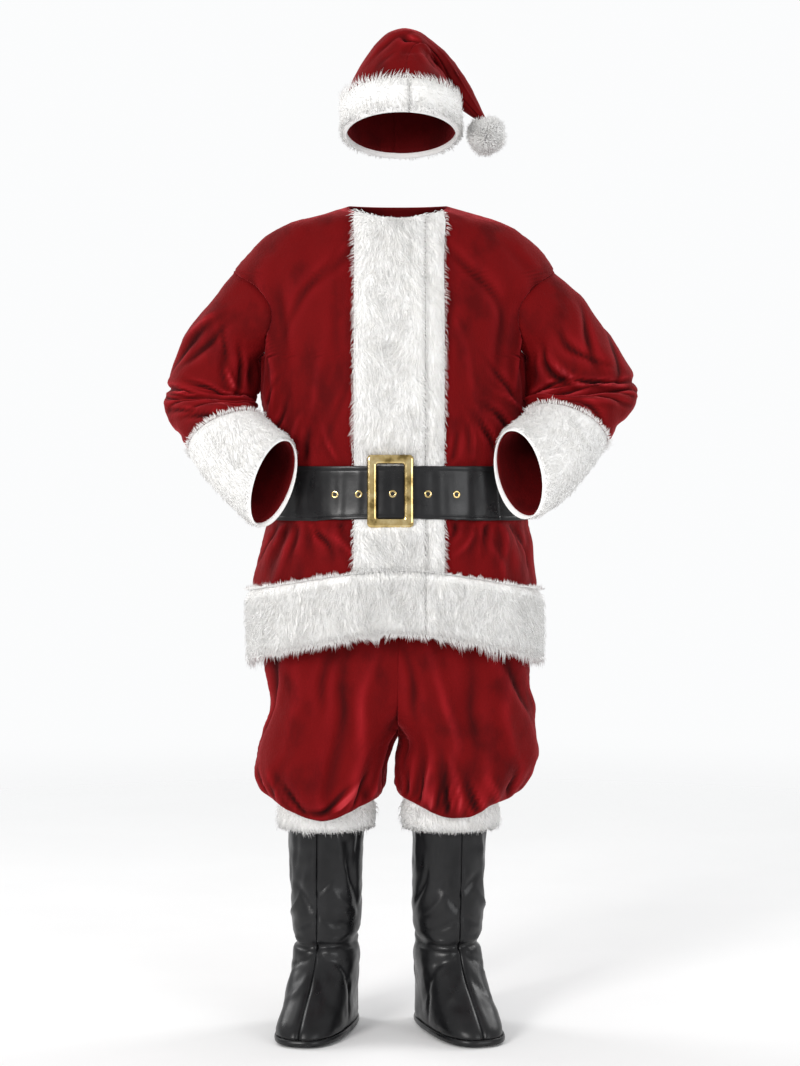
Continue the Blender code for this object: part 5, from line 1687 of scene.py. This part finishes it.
def bead_mesh(name, starts, ends, outs, radius, material):
    """Small pointed stitches, each with a diamond section at its middle."""
    along = unit(ends - starts)
    out = unit(outs - starts)
    side = np.cross(along, out)
    middle = (starts + ends) / 2
    points = np.stack((
        starts, middle + out * radius, middle + side * radius, middle - out * radius,
        middle - side * radius, ends,
    ), axis=1).reshape(-1, 3)
    base = np.arange(len(starts))[:, None] * 6
    pattern = np.array((
        (0, 2, 1), (0, 3, 2), (0, 4, 3), (0, 1, 4), (5, 1, 2), (5, 2, 3), (5, 3, 4), (5, 4, 1),
    ))
    faces = (base[:, None, :] + pattern[None]).reshape(-1, 3)
    return make_mesh(name, points, [faces], [material])


def rounded_frame(width, height, corner, steps):
    """Points round a rectangle with round corners."""
    corners = ((1, 1), (-1, 1), (-1, -1), (1, -1))
    points = []
    for quarter, (side, up) in enumerate(corners):
        middle_x = side * (width / 2 - corner)
        middle_z = up * (height / 2 - corner)
        for step in range(steps + 1):
            angle = (quarter + step / steps) * QUARTER
            points.append(
                (middle_x + corner * math.cos(angle), middle_z + corner * math.sin(angle))
            )
    return np.array(points)


def buckle(materials, torso):
    """A rounded brass frame laid against the belt's outer face."""
    heights = np.array((PRESSED_ROWS[0], BELT_LOW, BELT_MIDDLE, BELT_HIGH, PRESSED_ROWS[1]))
    angle = angle_across(BUCKLE_ACROSS, heights)
    outer_face = strap_inner(angle + WHOLE_TURN) + BELT_THICKNESS
    outer_face[[0, -1]] = FUR_PRESSED
    seats = torso.points(angle, heights, outer_face)
    middle = (seats[1] + seats[3]) / 2
    up = unit(seats[3] - seats[1])
    across = np.array((1.0, 0.0, 0.0))
    out = np.cross(across, up)
    back = middle + out * (np.max((seats - middle) @ out) + LAID_CLEAR)
    outer = rounded_frame(*BUCKLE_SIZE, BUCKLE_CORNER, BUCKLE_STEPS)
    window = rounded_frame(*BUCKLE_WINDOW, WINDOW_CORNER, BUCKLE_STEPS)
    loops = []
    shares = np.linspace(0, 1, BUCKLE_PROFILE)
    for share in shares:
        slant = abs(2 * share - 1)
        depth = BUCKLE_THICKNESS * (1 - slant ** 3.2) ** (1 / 2.4)
        flat = outer * (1 - share) + window * share
        loops.append(back + flat[:, :1] * across + flat[:, 1:] * up + out * (depth + 0.0002))
    for share in shares[::-1]:
        flat = outer * (1 - share) + window * share
        loops.append(back + flat[:, :1] * across + flat[:, 1:] * up)
    faces = grid_faces(len(loops), len(outer), wrap=True, flip=True, closed=True)
    item = make_mesh("belt_buckle_frame", np.concatenate(loops), [faces], [materials["brass"]])
    wear(item, "belt_buckle")


def eyelets(materials, torso):
    """Brass rings through the strap, each with a near-black disc in its hole as painted shade."""
    around, bends = EYELET_GRID
    turn = np.linspace(0, WHOLE_TURN, around, endpoint=False)
    bend = np.linspace(0, WHOLE_TURN, bends, endpoint=False)
    turn, bend = np.meshgrid(turn, bend, indexing="ij")
    rim = np.arange(HOLE_SIDES)[:, None] * WHOLE_TURN / HOLE_SIDES
    fan = [(0, 1 + k, 1 + (k + 1) % HOLE_SIDES) for k in range(HOLE_SIDES)]
    ring_faces = np.roll(grid_faces(around, bends, wrap=True, flip=True, closed=True), 1, axis=1)
    rim_faces = np.roll(grid_faces(3, HOLE_SIDES, wrap=True, first=1, flip=True), 1, axis=1)
    hole_faces = [np.array(fan), rim_faces]
    inner = EYELET_RADIUS - 0.7 * EYELET_WIRE
    for number, across in enumerate(EYELET_PLACES, start=1):
        angle = angle_across(across, np.array((EYELET_ROW,)))[0]
        surface = strap_outer(np.array(angle + WHOLE_TURN), np.array(EYELET_ROW))
        seat = torso.points(angle, EYELET_ROW, surface)
        axis = unit(torso.points(angle, EYELET_ROW, surface + 0.003) - seat)
        side = unit(np.cross(axis, (0.0, 0.0, 1.0)))
        up = np.cross(side, axis)
        spoke = side * np.cos(turn)[..., None] + up * np.sin(turn)[..., None]
        outward = EYELET_RADIUS + 1.35 * EYELET_WIRE * np.cos(bend)
        height = EYELET_WIRE * (0.35 + 0.75 * np.sin(bend))
        points = seat + spoke * outward[..., None] + axis * height[..., None]
        item = make_mesh(f"eyelet_{number}_ring", points.reshape(-1, 3), [ring_faces],
                         [materials["brass"]])
        wear(item, f"eyelet_{number}")
        # The disc sunk in the hole is painted shade
        spoke = side * np.cos(rim) + up * np.sin(rim)
        disc = [(seat - axis * 0.0016)[None]]
        for reach, sink in ((inner * 0.55, -0.0012), (inner * 0.9, -0.0004), (inner, 0.0003)):
            disc.append(seat + spoke * reach + axis * sink)
        hole_shade = make_mesh(f"eyelet_{number}_hole", np.concatenate(disc), hole_faces,
                         [materials["hole_shade"]])
        wear(hole_shade)


# Trousers, boot covers and hat

def trouser_loose(u, v):
    return np.clip(v / 2.5, 0, 1) * np.clip(WAISTBAND_ROWS[0] - v, 0, 1)


def trousers(materials):
    """Two front and two back panels that meet at the middle, and the waistband's casing."""
    cut = CUTS["trouser"]
    for name, table, folds, creases, side in (
        ("left", LEG_LEFT, LEG_LEFT_FOLDS, LEG_LEFT_CREASES, -1),
        ("right", LEG_RIGHT, LEG_RIGHT_FOLDS, LEG_RIGHT_CREASES, 1),
    ):
        leg = leg_cloth(table, folds, creases, side)
        span = (0.0, float(len(table) - 1))

        def front(rows):
            seam = seam_angle(leg, side * QUARTER, rows)
            middle = middle_angle(leg, rows, side, False)
            return side * (QUARTER - seam), -side * (middle - seam)

        def back(rows):
            seam = seam_angle(leg, side * QUARTER, rows)
            middle = middle_angle(leg, rows, side, True)
            return -side * (middle + seam), -side * (3 * QUARTER - seam)

        plush_piece(f"trouser_front_{name}", leg, front, span, cut, materials, trouser_loose,
                    seams=(1.0, 0.0), full=(side * QUARTER, -side * QUARTER))
        plush_piece(f"trouser_back_{name}", leg, back, span, cut, materials, trouser_loose,
                    seams=(0.0, 1.0), full=(-side * QUARTER, -side * 3 * QUARTER))
    leg = leg_cloth(LEG_RIGHT, LEG_RIGHT_FOLDS, (), 1)
    cut = CUTS["waistband"]
    u, v = patch(all_round, WAISTBAND_ROWS, cut, wrap=True, step=WAISTBAND_STEP)
    gather = np.sin(u * 64 + 2.0 * np.sin(u * 5)) * np.sin(math.pi * (v - v.min()) / np.ptp(v))
    outer = SEAM + WAISTBAND_THICKNESS + 0.0008 * gather
    item, area = wall_piece("waistband_casing", leg, u, v, outer, SEAM, materials["plush"], True)
    settle(item, "waistband")


def knee_cloth(middle_x):
    heights = column(KNEE_COLUMNS, KNEE, "height")
    inside = column(KNEE_COLUMNS, KNEE, "inside")
    stations = np.linspace(0, 1, len(heights))

    def place(u, v):
        u, v = paired(u, v)
        radius = smooth(stations, inside, v)
        height = smooth(stations, heights, v)
        across = middle_x + radius * np.sin(u)
        return np.stack((across, KNEE_MIDDLE_Y - radius * np.cos(u), height), axis=-1)

    return Cloth(place, (0.0, 1.0))


def knee_pile(u, v):
    pile = column(KNEE_COLUMNS, KNEE, "outside") - column(KNEE_COLUMNS, KNEE, "inside")
    return smooth(np.linspace(0, 1, len(pile)), pile, v)


def knee_cuffs(materials):
    for name, middle_x in (("left", KNEE_LEFT_X), ("right", KNEE_RIGHT_X)):
        fur_piece(f"knee_cuff_{name}", knee_cloth(middle_x), all_round, (0.0, 1.0),
                  CUTS["knee_cuff"], knee_pile, materials, under=0.0, wrap=True, fall=1.0,
                  edge_fade=0.004, rims=((1.0, 1.0, RIM_LONG),))


def boot_relief(points, share, height):
    """Unevenness of the vinyl, a welt along both seams and a sewn line above the binding."""
    relief = 0.0006 * soft_noise(points, 0.070, 31) + 0.0003 * soft_noise(points, 0.026, 37)
    near = np.minimum(share, 1 - share) * BOOT_WIDTH
    relief = relief * np.clip(near / 0.010, 0, 1)
    welt = 0.0007 * np.exp(-((near - 0.0045) / 0.0022) ** 2)
    relief = relief + welt - 0.0011 * np.exp(-(near / 0.0016) ** 2)
    return relief - 0.0006 * np.exp(-((height - BOOT_LOW - 0.004) / 0.003) ** 2)


def boots(materials):
    """Each cover: an outer and an inner half, and the binding round its lower edge."""
    vinyl = materials["vinyl"]
    for name, place_row, side in (("left", BOOT_LEFT_PLACE, -1), ("right", BOOT_RIGHT_PLACE, 1)):
        cloth = boot_cloth(place_row)

        def right_half(rows):
            front = seam_angle(cloth, 0.0, rows)
            return front, math.pi - seam_angle(cloth, math.pi, rows)

        def left_half(rows):
            front, back = right_half(rows)
            return -back, -front

        outer_half, inner_half = (left_half, right_half) if side < 0 else (right_half, left_half)
        for part, half in (("outer", outer_half), ("inner", inner_half)):
            u, v = patch(half, (BOOT_LOW, BOOT_TOP), (BOOT_WIDTH, CUTS["boot"][1]), step=BOOT_STEP)
            share = np.broadcast_to(np.linspace(0, 1, u.shape[1]), u.shape)
            relief = boot_relief(cloth.points(u, v), share, v)
            node = f"boot_{name}_{part}"
            item, area = wall_piece(f"{node}_vinyl", cloth, u, v, relief, relief - VINYL, vinyl)
            settle(item, node)
        columns, rows = BINDING_GRID
        turns = np.linspace(-math.pi, math.pi, columns, endpoint=False)
        u = np.broadcast_to(turns, (rows, columns))
        share = np.linspace(0, 1, rows)[:, None]
        v = np.broadcast_to(BINDING_LOW + (BINDING_HIGH - BINDING_LOW) * share, u.shape)
        bulge = 0.0012 + 0.0012 * np.sin(math.pi * share) + 0.0002 * np.sin(u * 90)
        roll = f"boot_{name}_binding_roll"
        item, area = wall_piece(roll, cloth, u, v, bulge, -VINYL, vinyl, True)
        settle(item, f"boot_{name}_binding")


def crown_loose(u, v):
    return np.clip((v - HAT_BAND_TOP) / 0.04, 0, 1)


def band_fall(u, v):
    """The band's strands hang near its lower edge and stand up near its upper edge."""
    return np.clip((v / HAT_BAND_TOP - 0.62) * 4.0, -1, 1)


def hat(materials):
    cloth = hat_cloth()
    seam = math.radians(HAT_SEAM)

    def left_half(rows):
        front = seam_angle(cloth, seam, rows, SEAM_HAT)
        back = seam_angle(cloth, seam + math.pi, rows, SEAM_HAT)
        return seam - (math.pi - back), seam - front

    def right_half(rows):
        front = seam_angle(cloth, seam, rows, SEAM_HAT)
        back = seam_angle(cloth, seam + math.pi, rows, SEAM_HAT)
        return seam + front, seam + math.pi - back

    def band_edges(rows):
        front = seam_angle(cloth, seam, rows, SEAM_HAT)
        return seam + front, seam + WHOLE_TURN - front

    for name, half in (("left", left_half), ("right", right_half)):
        plush_piece(f"hat_crown_{name}", cloth, half, (HAT_START, 1.0), CUTS["crown"], materials,
                    crown_loose)
    fur_piece("hat_band", cloth, band_edges, (0.0, HAT_BAND_TOP), CUTS["hat_band"], even_pile,
              materials, fall=band_fall, edge_fade=0.006, rims=((0.0, -1.0, RIM_LONG),),
              spill=(-0.6, 0.6))


def pompom(materials):
    """A round bed of fur under loose strands on all sides but where it is tied on."""
    middle = np.array(POMPOM_MIDDLE)
    rows, columns = POMPOM_GRID
    tilt = np.linspace(0.02, math.pi - 0.02, rows)[:, None]
    turn = np.linspace(0, WHOLE_TURN, columns, endpoint=False)[None]
    ways = np.stack((np.sin(tilt) * np.cos(turn), np.sin(tilt) * np.sin(turn),
                     np.cos(tilt) * np.ones_like(turn)), axis=-1)
    core = POMPOM_CORE * (1.0 + 0.035 * soft_noise(ways, 0.9, 41))
    points = (middle + ways * core[..., None]).reshape(-1, 3)
    caps = np.arange(columns)
    last = (rows - 1) * columns
    faces = [grid_faces(rows, columns, True), caps[None, :], (caps + last)[None, ::-1]]
    item = make_mesh("hat_pompom_bed", points, faces, [materials["fur_backing"]])
    wear(item, "hat_pompom")
    number = np.arange(POMPOM_STRANDS) + 0.5
    high = 1 - 2 * number / POMPOM_STRANDS
    around = number * math.pi * (1 + math.sqrt(5))
    flat = np.sqrt(1 - high * high)
    ways = np.stack((flat * np.cos(around), flat * np.sin(around), high), axis=1)
    ways = ways[ways @ unit(np.array(POMPOM_TIE)) < 0.90]
    swirl = np.stack([soft_noise(ways, 0.8, seed) for seed in (43, 47, 53)], axis=1)
    lean = unit(ways + 0.12 * swirl + 0.22 * rng.normal(size=ways.shape))
    roots = middle + ways * POMPOM_CORE * 0.93
    uneven = 1.0 + 0.04 * soft_noise(ways, 0.7, 59) + 0.06 * rng.normal(size=len(ways))
    tips = middle + unit(ways * 0.55 + lean * 0.45) * (POMPOM_REACH * uneven)[:, None]
    mids = roots + (tips - roots) * 0.55 + ways * 0.0012
    radius = STRAND_ROOT * 1.15 * rng.uniform(0.8, 1.1, len(ways))
    pile = strand_mesh("hat_pompom_pile", roots, mids, tips, radius, materials["fur"])
    wear(pile)


# Camera, floor and light

def area_light(name, place, aim, size, power, color):
    data = bpy.data.lights.new(name, "AREA")
    data.shape = "RECTANGLE"
    data.size, data.size_y = size
    data.energy = power
    data.color = color
    item = bpy.data.objects.new(name, data)
    item.location = place
    way = Vector(aim) - Vector(place)
    item.rotation_euler = way.to_track_quat("-Z", "Y").to_euler()
    bpy.context.scene.collection.objects.link(item)


def studio():
    scene = bpy.context.scene
    data = bpy.data.cameras.new("photo_camera")
    data.lens = CAMERA_LENS
    data.sensor_width = CAMERA_SENSOR
    camera = bpy.data.objects.new("photo_camera", data)
    camera.location = (0.0, -CAMERA_FAR, CAMERA_HEIGHT - HOLD_HEIGHT)
    camera.rotation_euler = (QUARTER - math.radians(CAMERA_DOWN), 0.0, 0.0)
    data.shift_x = CAMERA_SHIFT
    scene.collection.objects.link(camera)
    scene.camera = camera
    turns = np.arange(FLOOR_SIDES) * WHOLE_TURN / FLOOR_SIDES
    turns, away = np.meshgrid(turns, (0.001, FLOOR_SOLID, FLOOR_REACH))
    level = np.full(away.shape, -FLOOR_DROP)
    points = np.stack((away * np.cos(turns), away * np.sin(turns), level), axis=-1)
    faces = grid_faces(3, FLOOR_SIDES, wrap=True)
    make_mesh("studio_floor", points.reshape(-1, 3), [faces], [floor_material()])
    for row in LIGHTS:
        area_light(*row)
    world = bpy.data.worlds.new("soft_studio")
    world.use_nodes = True
    nodes = world.node_tree.nodes
    links = world.node_tree.links
    soft = nodes["Background"]
    seen = nodes.new("ShaderNodeBackground")
    for back, strength in ((soft, WORLD_STRENGTH), (seen, WORLD_SEEN)):
        back.inputs["Color"].default_value = (*WORLD_COLOR, 1.0)
        back.inputs["Strength"].default_value = strength
    ray = nodes.new("ShaderNodeLightPath")
    blend = nodes.new("ShaderNodeMixShader")
    links.new(ray.outputs["Is Camera Ray"], blend.inputs["Fac"])
    links.new(soft.outputs["Background"], blend.inputs[1])
    links.new(seen.outputs["Background"], blend.inputs[2])
    links.new(blend.outputs["Shader"], nodes["World Output"].inputs["Surface"])
    scene.world = world
    scene.view_settings.view_transform = "Standard"


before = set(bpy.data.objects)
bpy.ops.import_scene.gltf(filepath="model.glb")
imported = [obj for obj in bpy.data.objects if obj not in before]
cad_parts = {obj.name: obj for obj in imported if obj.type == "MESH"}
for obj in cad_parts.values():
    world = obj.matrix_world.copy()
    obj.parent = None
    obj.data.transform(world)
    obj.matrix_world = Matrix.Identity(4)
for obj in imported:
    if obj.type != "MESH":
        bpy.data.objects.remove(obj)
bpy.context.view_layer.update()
materials = {
    "plush": plush_material(),
    "fur": fur_material("white_fur", 1.0),
    # The bed's darker copy is a slight painted shade under the strands
    "fur_backing": fur_material("white_fur_bed", 0.98),
    "vinyl": vinyl_material(),
    "brass": brass_material(),
    "satin": satin_material(),
    "thread": stitch_material(),
    "hole_shade": hole_shade_material(),
}
studio()
body = torso_cloth()
jacket(materials, body)
sleeves(materials, body)
belt(materials, body)
buckle(materials, body)
eyelets(materials, body)
trousers(materials)
knee_cuffs(materials)
boots(materials)
hat(materials)
pompom(materials)
